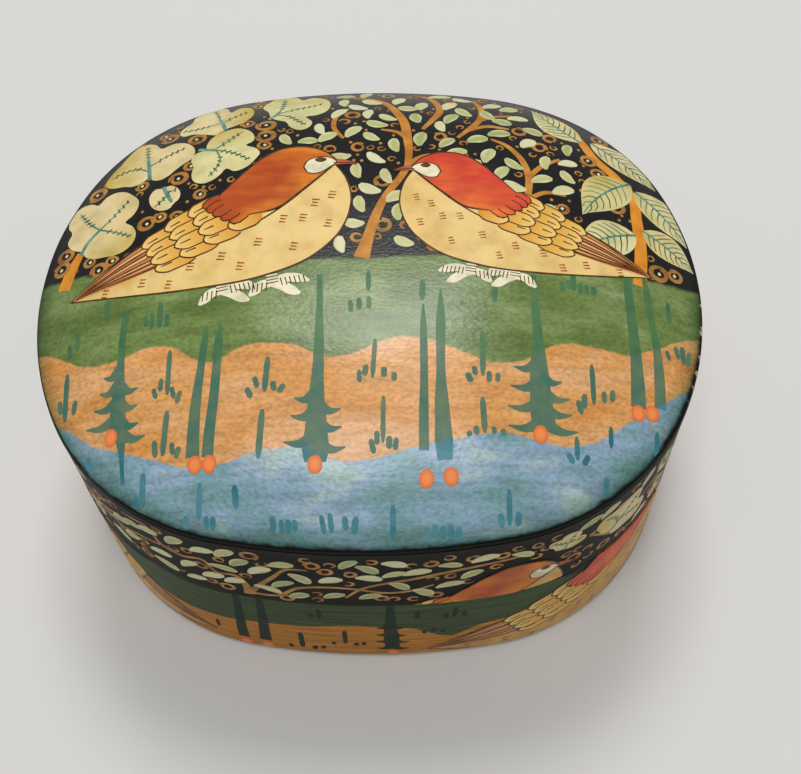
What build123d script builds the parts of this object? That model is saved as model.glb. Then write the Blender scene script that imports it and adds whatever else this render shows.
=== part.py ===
"""Oval papier mache box with a lift-off domed lid, in millimetres, +Z up.

The origin is the middle of the underside, where the box stands on its table, +X is along its length
and +Y is its back. Its pieces are pasted paper and pulp: a hoop with a floor let in makes the base,
a hoop with a domed crown on top makes the lid, and a strip glued inside the base is the collar that
keeps the lid in place.
"""

from build123d import *

import os
from math import atan2, cos, degrees, radians

# The plan is an oval of eight tangent arcs: two shallow sides, two shallow ends, four round corners
box_length = 152.0
box_width = 126.0
end_flat = 16.0  # between the centres of the two corner arcs, measured across an end
side_bow = 2.0  # how far each long side swells past its two corner arcs
end_bow = 1.8  # how far each end swells past its two corner arcs

# Heights of the pieces, from the table up
base_height = 37.0
lid_band_height = 30.0
crown_rim = 1.4  # upright rim of the crown, below its dome
dome_rise = 16.7
dome_power = 3.0  # 2 is a bowl, and a larger power a flatter top with a steeper shoulder

# Thickness of the pulp
wall = 3.2
floor_thickness = 3.0
crown_thickness = 3.2

# The collar, and what it fits
collar_height = 20.0
collar_proud = 7.0  # how far it stands above the base
collar_thickness = 2.0
collar_gap = 0.35  # from the collar to the hoops: glue in the base, free play in the lid
seam_gap = 0.4  # between the two ends of the strip
seam_slope = 45.0  # degrees, how far the ends are skived

# Joints and edges
glue_gap = 0.1  # from the floor to its hoop
foot_bevel = 2.2  # cut off the foot, whose two new corners are cut again
foot_corner_bevel = 0.5
crown_arris = 0.6  # cut off the crisp edge between the crown's rim and its dome
parting_arris = 0.3  # cut off the two corners at the parting line
collar_arris = 0.7  # cut off the collar's upper edge, so that the lid slips over it

# Steps of the dome and of the hollow under it, in degrees along a quarter circle
dome_sections = 9
last_section_angle = 78.0  # where the small flat at the middle of the dome begins
hollow_lifts = 4
last_lift_angle = 66.0  # where the flat ceiling of the hollow begins

# The arcs of the oval, from their centres and the bows
corner_radius = box_width / 2 - side_bow - end_flat / 2
corner_y = end_flat / 2
corner_x = box_length / 2 - end_bow - corner_radius
side_radius = (corner_x**2 + (corner_radius + side_bow) ** 2 - corner_radius**2) / (2 * side_bow)
end_radius = (corner_y**2 + (corner_radius + end_bow) ** 2 - corner_radius**2) / (2 * end_bow)
side_centre = box_width / 2 - side_radius
end_centre = box_length / 2 - end_radius
side_angle = degrees(atan2(corner_y - side_centre, corner_x))
end_angle = degrees(atan2(corner_y, corner_x - end_centre))

lid_bottom = base_height
crown_bottom = lid_bottom + lid_band_height
dome_bottom = crown_bottom + crown_rim
box_height = dome_bottom + dome_rise
hollow_rise = box_height - crown_thickness - crown_bottom
collar_bottom = base_height + collar_proud - collar_height
collar_outside = wall + collar_gap


def oval(inset=0.0, share=1.0):
    """The plan's face, set in all round by inset and then shrunk to a share of its size."""
    with BuildSketch() as plan:
        with BuildLine():
            side = CenterArc(
                center=(0, side_centre * share),
                radius=(side_radius - inset) * share,
                start_angle=side_angle,
                arc_size=180 - 2 * side_angle,
            )
            corner = CenterArc(
                center=(corner_x * share, corner_y * share),
                radius=(corner_radius - inset) * share,
                start_angle=end_angle,
                arc_size=side_angle - end_angle,
            )
            end = CenterArc(
                center=(end_centre * share, 0),
                radius=(end_radius - inset) * share,
                start_angle=-end_angle,
                arc_size=2 * end_angle,
            )
            mirror(side, about=Plane.XZ)
            mirror(end, about=Plane.YZ)
            far_corner = mirror(corner, about=Plane.YZ)
            mirror(corner, about=Plane.XZ)
            mirror(far_corner, about=Plane.XZ)
        make_face()
    return plan.sketch


def dome():
    """The dome as one solid. Over a share of the oval it rises dome_rise * (1 - share ** dome_power)."""
    with BuildPart() as mound:
        for section in range(dome_sections):
            share = cos(radians(last_section_angle * section / (dome_sections - 1)))
            height = dome_rise * (1 - share**dome_power)
            with BuildSketch(Plane.XY.offset(dome_bottom + height)):
                add(oval(share=share))
        loft()
    return mound.part


def hollow():
    """The space under the dome, in tapered lifts whose levels rise and draw in as the dome does."""
    reach = (box_length + box_width) / 4 - wall
    angles = [last_lift_angle * level / hollow_lifts for level in range(hollow_lifts + 1)]
    shares = [cos(radians(angle)) for angle in angles]
    with BuildPart() as space:
        for share, next_share in zip(shares, shares[1:]):
            level = hollow_rise * (1 - share**dome_power)
            height = hollow_rise * (share**dome_power - next_share**dome_power)
            drawn_in = reach * (share - next_share)
            with BuildSketch(Plane.XY.offset(crown_bottom + level)):
                add(oval(inset=wall + reach * (1 - share)))
            extrude(amount=height, taper=degrees(atan2(drawn_in, height)))
    return space.part


# Base hoop: the upright side of the base, with a rounded foot and a bevelled upper corner
with BuildPart() as base_wall:
    with BuildSketch():
        add(oval())
        add(oval(wall), mode=Mode.SUBTRACT)
    extrude(amount=base_height)
    foot = base_wall.faces().sort_by(Axis.Z)[0]
    chamfer(foot.outer_wire().edges(), length=foot_bevel)
    foot_corners = base_wall.faces().filter_by(GeomType.CONE).edges().filter_by(GeomType.CIRCLE)
    chamfer(foot_corners, length=foot_corner_bevel)
    mouth = base_wall.faces().sort_by(Axis.Z)[-1]
    chamfer(mouth.outer_wire().edges(), length=parting_arris)

# Base floor: a flat board let into the hoop and glued all round, level with its foot
with BuildPart() as base_floor:
    with BuildSketch():
        add(oval(wall + glue_gap))
    extrude(amount=floor_thickness)

# Collar: one strip bent round inside the base and glued to it, whose skived ends meet at the back
with BuildPart() as collar:
    with BuildSketch(Plane.XY.offset(collar_bottom)):
        add(oval(collar_outside))
        add(oval(collar_outside + collar_thickness), mode=Mode.SUBTRACT)
    extrude(amount=collar_height)
    rim = collar.faces().sort_by(Axis.Z)[-1]
    chamfer(rim.outer_wire().edges(), length=collar_arris)
    with BuildSketch(Plane.XY.offset(collar_bottom)):
        with Locations((0, box_width / 2 - collar_outside - collar_thickness / 2)):
            Rectangle(seam_gap, 3 * collar_thickness, rotation=seam_slope)
    extrude(amount=collar_height, mode=Mode.SUBTRACT)

# Lid band: the upright side of the lid, flush with the base hoop below it
with BuildPart() as lid_band:
    with BuildSketch(Plane.XY.offset(lid_bottom)):
        add(oval())
        add(oval(wall), mode=Mode.SUBTRACT)
    extrude(amount=lid_band_height)
    lip = lid_band.faces().sort_by(Axis.Z)[0]
    chamfer(lip.outer_wire().edges(), length=parting_arris)

# Lid crown: a domed shell glued on the band. A low upright rim meets the dome at a crisp edge, and
# the hollow under it springs from the inside of the band.
with BuildPart() as lid_crown:
    with BuildSketch(Plane.XY.offset(crown_bottom)):
        add(oval())
    extrude(amount=crown_rim)
    add(dome())
    just_above = dome_bottom + crown_arris / 2
    just_below = dome_bottom - crown_arris / 2
    crown_edge = lid_crown.edges().filter_by_position(Axis.Z, just_below, just_above)
    chamfer(crown_edge, length=crown_arris)
    add(hollow(), mode=Mode.SUBTRACT)

base_wall.part.label = "base_wall"
base_floor.part.label = "base_floor"
collar.part.label = "collar"
lid_band.part.label = "lid_band"
lid_crown.part.label = "lid_crown"

os.makedirs("parts", exist_ok=True)
export_step(base_wall.part, "parts/base_wall.step")
export_step(base_floor.part, "parts/base_floor.step")
export_step(collar.part, "parts/collar.step")
export_step(lid_band.part, "parts/lid_band.step")
export_step(lid_crown.part, "parts/lid_crown.step")
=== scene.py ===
"""An oval papier mache box with a lift-off lid, painted by hand and lacquered.

The sections follow the box as it is put together: floor, base hoop, collar, lid band and crown, then
the painting on lid and base, and last the table, the lights and the camera. Lengths are millimetres
until a mesh is made, where they become metres.
"""

import bmesh
import bpy
import numpy as np
from mathutils import Matrix, Vector


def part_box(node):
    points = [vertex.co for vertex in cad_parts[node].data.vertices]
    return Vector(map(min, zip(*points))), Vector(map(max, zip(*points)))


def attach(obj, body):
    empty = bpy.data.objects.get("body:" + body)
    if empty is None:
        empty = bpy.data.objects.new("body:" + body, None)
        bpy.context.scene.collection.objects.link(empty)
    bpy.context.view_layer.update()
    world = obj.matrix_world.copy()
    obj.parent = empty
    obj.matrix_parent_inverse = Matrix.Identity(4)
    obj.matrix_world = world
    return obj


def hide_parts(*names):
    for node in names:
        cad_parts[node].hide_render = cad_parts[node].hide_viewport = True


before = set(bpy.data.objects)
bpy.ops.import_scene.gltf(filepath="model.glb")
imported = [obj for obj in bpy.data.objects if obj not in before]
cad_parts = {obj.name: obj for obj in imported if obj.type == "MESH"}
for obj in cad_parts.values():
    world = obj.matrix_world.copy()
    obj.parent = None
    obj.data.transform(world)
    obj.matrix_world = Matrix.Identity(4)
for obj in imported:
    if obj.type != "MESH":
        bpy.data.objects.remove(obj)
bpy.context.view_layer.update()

# ------------------------------------------------------------------ base floor
# A flat board of pressed paper, let into the base hoop and glued all round. It is the bottom of the
# box and what the box stands on. Both faces are brushed with black lacquer.

METRE = 1000.0  # millimetres

box_length = 152.0
box_width = 126.0
end_flat = 16.0
side_bow = 2.0
end_bow = 1.8
corner_radius = box_width / 2 - side_bow - end_flat / 2
corner_centre = np.array([box_length / 2 - end_bow - corner_radius, end_flat / 2])
side_radius = (corner_centre[0] ** 2 + (corner_radius + side_bow) ** 2 - corner_radius**2) / (2 * side_bow)
end_radius = (corner_centre[1] ** 2 + (corner_radius + end_bow) ** 2 - corner_radius**2) / (2 * end_bow)
side_centre = np.array([0.0, box_width / 2 - side_radius])
end_centre = np.array([box_length / 2 - end_radius, 0.0])
side_turn = np.arctan2(corner_centre[1] - side_centre[1], corner_centre[0])
end_turn = np.arctan2(corner_centre[1], corner_centre[0] - end_centre[0])


def oval(turn, inset=0.0):
    """Points of the plan where its outward direction has the angle turn: the centre of the arc that
    faces that way, plus its radius less the inset. The arcs are two sides, two ends, four corners."""
    outward = np.stack([np.cos(turn), np.sin(turn)], -1)
    steepness = np.arctan2(abs(outward[..., 1]), abs(outward[..., 0]))[..., None]
    on_side = steepness > side_turn
    on_end = steepness < end_turn
    centre = np.where(on_side, side_centre, np.where(on_end, end_centre, corner_centre))
    radius = np.where(on_side, side_radius, np.where(on_end, end_radius, corner_radius))
    return centre * np.sign(outward) + (radius - np.asarray(inset)[..., None]) * outward


def linear(colour):
    """A colour written as an sRGB hex string, as the linear numbers that a shader takes."""
    parts = np.array([int(colour[i : i + 2], 16) for i in (1, 3, 5)]) / 255
    parts = np.where(parts <= 0.04045, parts / 12.92, ((parts + 0.055) / 1.055) ** 2.4)
    return (*parts.tolist(), 1.0)


def add(material, kind, inputs=None, out=0, stops=(), **settings):
    """Add one shader node with its settings and return one of its outputs. Inputs are given by name
    or number: a value, a colour in hex, a number kept at the points by its name, or another node's
    output. Stops are a colour ramp's positions and colours."""
    node = material.node_tree.nodes.new("ShaderNode" + kind)
    for name, value in settings.items():
        setattr(node, name, value)
    for name, value in (inputs or {}).items():
        if isinstance(value, str):
            kept = {"out": "Fac", "attribute_name": value}
            value = linear(value) if value[0] == "#" else add(material, "Attribute", **kept)
        if isinstance(value, bpy.types.NodeSocket):
            material.node_tree.links.new(value, node.inputs[name])
        else:
            node.inputs[name].default_value = value
    for position, _ in stops[1:-1]:
        node.color_ramp.elements.new(position)
    for number, (position, colour) in enumerate(stops):
        node.color_ramp.elements[number].position = position
        node.color_ramp.elements[number].color = linear(colour)
    return node.outputs[out]


def lacquered(name, coat=0.25, coat_roughness=0.3, grain=0.025, grain_width=0.8, brush=(1, 1, 1)):
    """A painted and lacquered finish: satin water colour under a clear coat, over chalk ground whose
    sanded tooth is grain high and grain_width wide, in millimetres, and drawn out along x, y and z
    by the brush. Returns the material and the place on the piece."""
    material = bpy.data.materials.new(name)
    material.use_nodes = True
    shader = material.node_tree.nodes["Principled BSDF"]
    shader.inputs["Roughness"].default_value = 0.6
    shader.inputs["Specular IOR Level"].default_value = 0.08
    shader.inputs["Coat Weight"].default_value = coat
    shader.inputs["Coat Roughness"].default_value = coat_roughness
    shader.inputs["Coat IOR"].default_value = 1.5
    place = add(material, "TexCoord", out="Object")
    drawn = add(material, "Mapping", {"Vector": place, "Scale": [1 / length for length in brush]})
    tooth = add(material, "TexNoise", {"Vector": drawn, "Scale": METRE / grain_width, "Detail": 3.0})
    bump = add(material, "Bump", {"Height": tooth, "Distance": grain / METRE})
    for normal in ("Normal", "Coat Normal"):
        feed(material, normal, bump)
    return material, place


def feed(material, socket, output):
    """Link a node's output to one of the shader's sockets."""
    material.node_tree.links.new(output, material.node_tree.nodes["Principled BSDF"].inputs[socket])


# Lamp-black in lacquer, brushed on: nearly black, satin, with faint browner wisps where it is thin
black_lacquer, place = lacquered("black_lacquer", 0.3, 0.35)
wisps = add(black_lacquer, "TexNoise", {"Vector": place, "Scale": METRE / 9, "Detail": 4.0})
wisps = add(black_lacquer, "ValToRGB", {"Fac": wisps}, stops=((0.35, "#12100d"), (0.75, "#26211c")))
feed(black_lacquer, "Base Color", wisps)


CREASE = np.radians(40)


def make_mesh(name, points, faces, material, body, numbers=None):
    """A piece from its points in millimetres and its faces. It rides on a body, takes a material,
    and may keep numbers at its points. Edges sharper than the crease stay crisp."""
    mesh = bpy.data.meshes.new(name)
    mesh.from_pydata((np.reshape(points, (-1, 3)) / METRE).tolist(), [], faces)
    mesh.polygons.foreach_set("use_smooth", np.ones(len(mesh.polygons), bool))
    mesh.set_sharp_from_angle(angle=CREASE)
    for label, values in (numbers or {}).items():
        layer = mesh.attributes.new(label, "FLOAT", "POINT")
        layer.data.foreach_set("value", np.ravel(values).astype(np.float32))
    mesh.materials.append(material)
    piece = bpy.data.objects.new(name, mesh)
    bpy.context.scene.collection.objects.link(piece)
    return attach(piece, body)


def grid_faces(rows, columns, closed_rows=False, closed_columns=False):
    """Quads between the neighbours in a grid of points that is numbered row by row."""
    index = np.arange(rows * columns).reshape(rows, columns)
    if closed_rows:
        index = np.vstack([index, index[:1]])
    if closed_columns:
        index = np.hstack([index, index[:, :1]])
    corners = [index[:-1, :-1], index[:-1, 1:], index[1:, 1:], index[1:, :-1]]
    return np.stack(corners, -1).reshape(-1, 4).tolist()


AROUND = 384
turns = np.linspace(-np.pi, np.pi, AROUND, endpoint=False)


def carried(profile, angles=turns):
    """A profile carried round the oval, as rows of points. Each point of the profile is its inset
    from the outline, its height, and the share to which that inset oval is shrunk."""
    inset, height, share = np.array(profile).T[:, :, None]
    plan = oval(angles + 0 * inset, inset + 0 * angles) * share[..., None]
    return np.concatenate([plan, (height + 0 * angles)[..., None]], -1)


def run(start, end, steps):
    """Profile points on the straight from start to end, both ends included."""
    return [(*point, 1.0) for point in np.linspace(start, end, steps)]


def capped_faces(count):
    """Faces of rows round the oval that two fans close: to one point below the first row, and one
    above the last. The two points are numbered after the rows."""
    ring = np.arange(AROUND)
    after = np.roll(ring, -1)
    last = (count - 1) * AROUND
    below = np.column_stack([np.full(AROUND, count * AROUND), after, ring])
    above = np.column_stack([last + ring, last + after, np.full(AROUND, count * AROUND + 1)])
    return grid_faces(count, AROUND, closed_columns=True) + below.tolist() + above.tolist()


wall = 3.2
glue_gap = 0.1
floor_low, floor_high = (corner.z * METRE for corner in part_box("base_floor"))
floor_inset = wall + glue_gap
floor_shares = np.linspace(0.05, 0.99, 12)
rows = [(floor_inset, floor_low, share) for share in floor_shares]
rows += run((floor_inset, floor_low), (floor_inset, floor_high), 3)
rows += [(floor_inset, floor_high, share) for share in floor_shares[::-1]]
points = np.vstack([carried(rows).reshape(-1, 3), (0, 0, floor_low), (0, 0, floor_high)])
faces = capped_faces(len(rows))
floor_board = make_mesh("floor_board", points, faces, black_lacquer, "base")
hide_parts("base_floor")

# ------------------------------------------------------------------ base hoop
# Paper and pulp laid up in layers round a mould and cut free: the upright side of the base. Outside
# it is sanded, coated with chalk and painted, green over earth orange. Its foot is rounded.

base_height = 37.0
foot_reach = 3.6
foot_band = 0.9
lip_reach = 0.5
glue_top, glue_bottom = 24.0, 20.0
SIDE_ROWS = 16

rng = np.random.default_rng(7)
ripple_lengths = np.array([12, 16, 21, 28, 36, 46])
ripple_ways = rng.normal(size=(len(ripple_lengths), 3))
ripple_ways *= (2 * np.pi / ripple_lengths / np.linalg.norm(ripple_ways, axis=1))[:, None]
ripple_starts = rng.uniform(0, 2 * np.pi, len(ripple_lengths))
ripple_heights = 0.0008 * ripple_lengths
skin = 0.15


def sunk(points):
    """How far hand-laid pulp lies below its true form: a thin skin, plus a sum of sine waves of a
    dozen to some fifty millimetres that run in all directions."""
    waves = np.sin(points @ ripple_ways.T + ripple_starts) * ripple_heights
    return skin + ripple_heights.sum() + waves.sum(-1)


def rounded(before, corner, after, reach, steps=5):
    """Profile points round a corner, on the parabola that leaves the lines from the corner to its
    neighbours at a distance of reach."""
    before, corner, after = np.array([before, corner, after], float)
    first = corner + reach * (before - corner) / np.linalg.norm(before - corner)
    last = corner + reach * (after - corner) / np.linalg.norm(after - corner)
    along = np.linspace(0, 1, steps)[:, None]
    curve = (1 - along) ** 2 * first + 2 * along * (1 - along) * corner + along**2 * last
    return [(inset, height, 1.0) for inset, height in curve]


def sink(rows, share_of_row):
    """Rows of a carried profile moved in along their normals by how far the pulp is sunk, times a
    share for each row. The normal is the cross product of the two directions along the grid."""
    along_profile = np.gradient(rows, axis=0)
    along_outline = np.roll(rows, -1, 1) - np.roll(rows, 1, 1)
    normal = np.cross(along_outline, along_profile)
    normal /= np.linalg.norm(normal, axis=-1, keepdims=True) + 1e-12
    return rows - normal * (sunk(rows) * np.asarray(share_of_row)[:, None])[..., None]


def length_of(points):
    """How far along a line each of its points lies, as the sum of the straight pieces before it."""
    return np.concatenate([[0], np.cumsum(np.linalg.norm(np.diff(points, axis=0), axis=1))])


# Arc length along the outline from the front middle, anticlockwise from above, and back to the turn
FINE_STEPS = 8192
fine_turns = np.linspace(-np.pi / 2, 3 * np.pi / 2, FINE_STEPS + 1)
fine_outline = oval(fine_turns)
fine_length = length_of(fine_outline)
girth = fine_length[-1]


def from_front(angle):
    """The same angle between the front, which is minus a quarter turn, and a whole turn on."""
    return np.mod(angle + np.pi / 2, 2 * np.pi) - np.pi / 2


def turn_at(length):
    """The turn at an arc length from the front middle, by looking it up along the outline."""
    return np.interp(np.mod(length, girth), fine_length, fine_turns)


def length_at(turn):
    """The arc length from the front middle at a turn, between minus and plus half the girth."""
    length = np.interp(from_front(turn), fine_turns, fine_length)
    return np.where(length > girth / 2, length - girth, length)


def hermite(places, values, where):
    """Rows of values between given ones at rising places: through them runs a cubic whose slope at
    each is that between its neighbours."""
    slopes = np.gradient(values, places, axis=0)
    step = np.clip(np.searchsorted(places, where) - 1, 0, len(places) - 2)
    width = (places[step + 1] - places[step])[..., None]
    u = np.clip((where - places[step])[..., None] / width, 0, 1)
    start = values[step] * (1 + 2 * u) * (1 - u) ** 2 + slopes[step] * width * u * (1 - u) ** 2
    return start + values[step + 1] * u**2 * (3 - 2 * u) - slopes[step + 1] * width * u**2 * (1 - u)


def smooth_line(table, period=None):
    """A function through given pairs of place and value, repeated after the period if there is one."""
    table = np.array(table, float)
    if period:
        table = np.vstack([table[-2:] - [period, 0], table, table[:2] + [period, 0]])

    def at(where):
        where = np.asarray(where, float)
        if period:
            where = np.mod(where - table[2, 0], period) + table[2, 0]
        return hermite(table[:, 0], table[:, 1:], where)[..., 0]

    return at


# Height of the green's lower edge at arc lengths round the base
base_hills = smooth_line([
    (-205, 18), (-180, 21), (-160, 17), (-140, 20), (-118, 16), (-96, 20), (-80, 17), (-62, 20), (-45, 18),
    (-34.6, 19.4), (-23, 20.9), (-17, 21.4), (-7.6, 23.2), (-0.5, 23.1), (8, 21.4), (11.2, 20), (13.8, 17),
    (18.5, 13.5), (24, 17.9), (30, 20.4), (40, 19), (60, 20), (78, 17), (96, 20), (118, 17), (140, 20),
    (160, 18), (180, 21), (205, 19),
], girth)

# Height of the green's upper edge, above which the black ground shows between the birds
base_horizon = smooth_line([
    (-205, 34), (-180, 31), (-160, 35), (-140, 32), (-118, 30), (-96, 33), (-72, 32), (-58, 35), (-46, 40),
    (-20, 42), (10, 42), (34, 41), (41, 37.5), (47, 34.5), (56, 31.5), (70, 30), (90, 33), (110, 30),
    (140, 33), (165, 31), (190, 35), (212, 32),
], girth)

# Earth colours ground in glue, brushed along the side in thin coats: streaks some 20 mm long and 1 mm
# wide, a green and an orange darker than the crown's as painted shade on the upright side, and the
# orange browns towards the foot
base_paint, place = lacquered("base_side_paint", 0.1)
mixed = {"data_type": "RGBA", "out": 2}


def brushed(material, place, stretch, width, detail=4.0):
    """Noise drawn out into brush streaks: stretch is the streak's length along x, y and z, in mm,
    divided into the streak's width. One length serves for all three."""
    stretch = stretch if isinstance(stretch, tuple) else 3 * (stretch,)
    drawn = add(material, "Mapping", {"Vector": place, "Scale": [width / length for length in stretch]})
    return add(material, "TexNoise", {"Vector": drawn, "Scale": METRE / width, "Detail": detail})


def two_tone(material, share, first, second, by):
    """Two ramps of colour over one share, mixed by another."""
    first, second = (add(material, "ValToRGB", {"Fac": share}, stops=stops) for stops in (first, second))
    return add(material, "Mix", {0: by, 6: first, 7: second}, **mixed)


def laid(material, ground, paint, number, ragged, width=0.25):
    """A paint laid over a ground up to a painted edge, where a number kept at the points passes nought,
    which a ragged amount of noise moves to and fro. Width is the soft part, in millimetres."""
    place = add(material, "TexCoord", out="Object")
    noise = add(material, "TexNoise", {"Vector": place, "Scale": METRE / 2.5, "Detail": 2.0})
    moved = add(material, "Math", {0: noise, 1: 0.5}, operation="SUBTRACT")
    moved = add(material, "Math", {0: moved, 1: ragged, 2: number}, operation="MULTIPLY_ADD")
    share = add(material, "MapRange", {"Value": moved, "From Min": -width, "From Max": width})
    return add(material, "Mix", {0: share, 6: ground, 7: paint}, **mixed)


streaks = brushed(base_paint, place, (20, 20, 1.2), 1.2)
# Painted shade: the side's green and orange are darker than the crown's; the third ramp is the brown at the
# foot
shaded_side_stops = (
    ((0.3, "#2b3a20"), (0.5, "#3a4a2b"), (0.7, "#4a5b38")),
    ((0.3, "#98601f"), (0.5, "#b4762c"), (0.72, "#c98c3e")),
    ((0.3, "#2a2014"), (0.6, "#5b4426")),
)
green, orange, foot_brown = (add(base_paint, "ValToRGB", {"Fac": streaks}, stops=stops) for stops in shaded_side_stops)
field = laid(base_paint, green, orange, "orange_depth", 0.8)
field = laid(base_paint, "#0d0f0b", field, "green_depth", 0.8, 0.4)
# Darker brown over the lowest millimetre of the rounded foot
field = laid(base_paint, foot_brown, field, "foot_depth", 1.6, 0.6)
feed(base_paint, "Base Color", laid(base_paint, "#12100d", field, "painted", 0.0, 0.5))

low, high = (0.0, 0.0), (0.0, base_height)
low_in, high_in = (wall, 0.0), (wall, base_height)
outside = rounded(low_in, low, high, foot_reach, 9)
outside += run((0, foot_reach + 1), (0, base_height - lip_reach - 1), SIDE_ROWS)
outside += rounded(low, high, high_in, lip_reach)
inside = run(high_in, (wall, glue_top), 4) + run((wall, glue_bottom), low_in, 4)
rows = carried(outside + inside)
rows = sink(rows, [1.0] * (len(outside) - 1) + [0.0] * (len(inside) + 1))
lengths, heights = length_at(turns) + 0 * rows[..., 2], rows[..., 2]
numbers = {
    "orange_depth": base_hills(lengths) - heights,
    "green_depth": base_horizon(lengths) - heights,
    "foot_depth": heights - foot_band,
    "painted": np.where(np.arange(len(rows)) < len(outside) - 1, 5.0, -5.0)[:, None] + 0 * lengths,
}
faces = grid_faces(len(rows), AROUND, closed_rows=True, closed_columns=True)
base_hoop = make_mesh("base_hoop", rows, faces, base_paint, "base", numbers)
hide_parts("base_wall")

# ------------------------------------------------------------------ collar
# One strip of thin board bent round inside the base and glued to it, so that it stands up into the
# lid and keeps it in place. Its skived ends meet at the back. It is lacquered black.

collar_bottom = 24.0
collar_top = 44.0
collar_outer = 3.55
collar_inner = 5.55
collar_soft, collar_crisp = 0.7, 0.3
seam_gap = 0.4

from_top = (collar_outer, collar_top)
strip_profile = rounded((collar_outer, collar_bottom), from_top, (collar_inner, collar_top), collar_soft)
strip_profile += rounded(from_top, (collar_inner, collar_top), (collar_inner, collar_bottom), collar_crisp, 3)
strip_profile += run((collar_inner, collar_top - 2), (collar_inner, collar_bottom), 4)
strip_profile += run((collar_outer, collar_bottom), (collar_outer, collar_top - 2), 4)
inset = np.array(strip_profile)[:, :1]
skew = (inset - (collar_outer + collar_inner) / 2) / (side_radius - inset)
half_gap = seam_gap / np.sqrt(2) / side_radius
STRIP = 361
share = np.linspace(0, 1, STRIP)
strip_turns = np.pi / 2 + skew + half_gap + share * (2 * np.pi - 2 * half_gap)
strip = carried(strip_profile, strip_turns)
count = len(strip_profile)
faces = grid_faces(count, STRIP, closed_rows=True)
faces.append((np.arange(count) * STRIP).tolist())
faces.append((np.arange(count)[::-1] * STRIP + STRIP - 1).tolist())
collar_strip = make_mesh("collar_strip", strip, faces, black_lacquer, "base")
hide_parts("collar")

# ------------------------------------------------------------------ lid band
# A second hoop of pulp, cut from the same mould and flush with the base below it. Outside it is
# black, as the ground of the leaf and vine painting, and inside it is lacquered.

lid_bottom = base_height
crown_bottom = 67.0


def specked(name, stretch, width, *stops, coat=0.25):
    """A paint whose colour runs through stops with fine specks drawn out by the brush."""
    material, place = lacquered(name, coat)
    specks = brushed(material, place, stretch, width)
    feed(material, "Base Color", add(material, "ValToRGB", {"Fac": specks}, stops=stops))
    return material


# Black water colour under lacquer, a trace green, with thin spots and faint brush marks
ground_stops = ((0.35, "#070906"), (0.6, "#0d0f0a"), (0.8, "#191b12"))
black_ground = specked("black_ground", (12, 12, 1.5), 1.5, *ground_stops, coat=0.06)

low, high = (0.0, lid_bottom), (0.0, crown_bottom)
low_in, high_in = (wall, lid_bottom), (wall, crown_bottom)
outside = rounded(low_in, low, high, lip_reach) + run((0, lid_bottom + lip_reach + 1), high, SIDE_ROWS)
inside = run(high_in, low_in, 8)
rows = sink(carried(outside + inside), [1.0] * len(outside) + [0.0] * len(inside))
faces = grid_faces(len(rows), AROUND, closed_rows=True, closed_columns=True)
lid_hoop = make_mesh("lid_hoop", rows, faces, black_ground, "lid")
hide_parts("lid_band")

# ------------------------------------------------------------------ lid crown
# The domed top of the lid, one shell of pulp glued on the band and smoothed into it. It has a low
# upright rim, a crisp edge that wear has rounded, and a dome that flattens towards its middle.

crown_rim = 1.4
dome_bottom = crown_bottom + crown_rim
dome_rise = 16.7
dome_power = 3.0
crown_thickness = 3.2
edge_reach = 0.6

fine_polar = np.unwrap(np.arctan2(fine_outline[:, 1], fine_outline[:, 0]))
fine_reach = np.linalg.norm(fine_outline, axis=1)


def share_at(x, y):
    """Where a point of the plan lies between the middle, 0, and the outline, 1: its distance from the
    middle over the outline's distance in the same direction."""
    return np.hypot(x, y) / np.interp(from_front(np.arctan2(y, x)), fine_polar, fine_reach)


def length_towards(x, y):
    """The arc length of the outline in the direction from the middle to a point of the plan."""
    return length_at(np.interp(from_front(np.arctan2(y, x)), fine_polar, fine_turns))


def dome_height(share):
    """Height of the dome over a share of the plan: its rise times one less the share's third power."""
    return dome_bottom + dome_rise * (1 - np.minimum(share, 1) ** dome_power)


# Edges of the painted fields across the crown, as how far back they lie at places along it
grass_top = smooth_line([
    (-76, 3), (-66, 2), (-50, -1), (-38, -2), (-20, -1), (0, -1), (18, 0), (36, 1), (50, -1), (64, -1),
    (76, 0),
])
clay_top = smooth_line([
    (-76, -15), (-72, -16), (-60, -22), (-53, -22), (-47, -20.5), (-41, -21), (-35, -24.8), (-32, -25.3),
    (-26, -22.4), (-19, -21.7), (-14, -22.5), (-9, -25), (-3, -24.6), (4, -21.7), (7.5, -20.6),
    (11.5, -20.8), (21, -24), (26, -26.1), (29, -26.2), (34.5, -24.8), (38.5, -22), (42, -20.7), (50, -20.6),
    (56.5, -21), (63, -18), (70, -14), (76, -12),
])
water_top = smooth_line([
    (-76, -30), (-65, -34.5), (-57, -40), (-51, -42), (-43, -44.7), (-38, -46.3), (-29.5, -46.5),
    (-22, -44.4), (-16, -43.9), (-11.5, -43.8), (-7, -46.2), (1.5, -46.4), (9.5, -44.3), (18, -42.6),
    (25.5, -41), (30, -40.8), (36, -41.8), (42, -42.5), (48, -40.9), (54, -37), (57, -34.9), (66, -28.5),
    (76, -21),
])

# How wide the black border is that stays free of colour inside the crown's edge, at arc lengths
border = smooth_line([
    (-212, 0.6), (-150, 0.5), (-120, 0.4), (-90, 0.3), (-60, 0.6), (-30, 0.9), (0, 0.8), (30, 0.9),
    (60, 1.0), (85, 1.2), (100, 1.0), (115, 0.7), (140, 0.6), (180, 0.6),
], girth)

# How badly knocks have chipped the edge, at arc lengths: where this is over nought, most of the paint
# is gone, and a little below it a chip is left here and there
chips = smooth_line([
    (-212, -1), (-120, -0.7), (-60, -1), (30, -1), (72, -0.7), (88, -0.1), (112, -0.1), (128, -0.7),
    (180, -1),
], girth)

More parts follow.
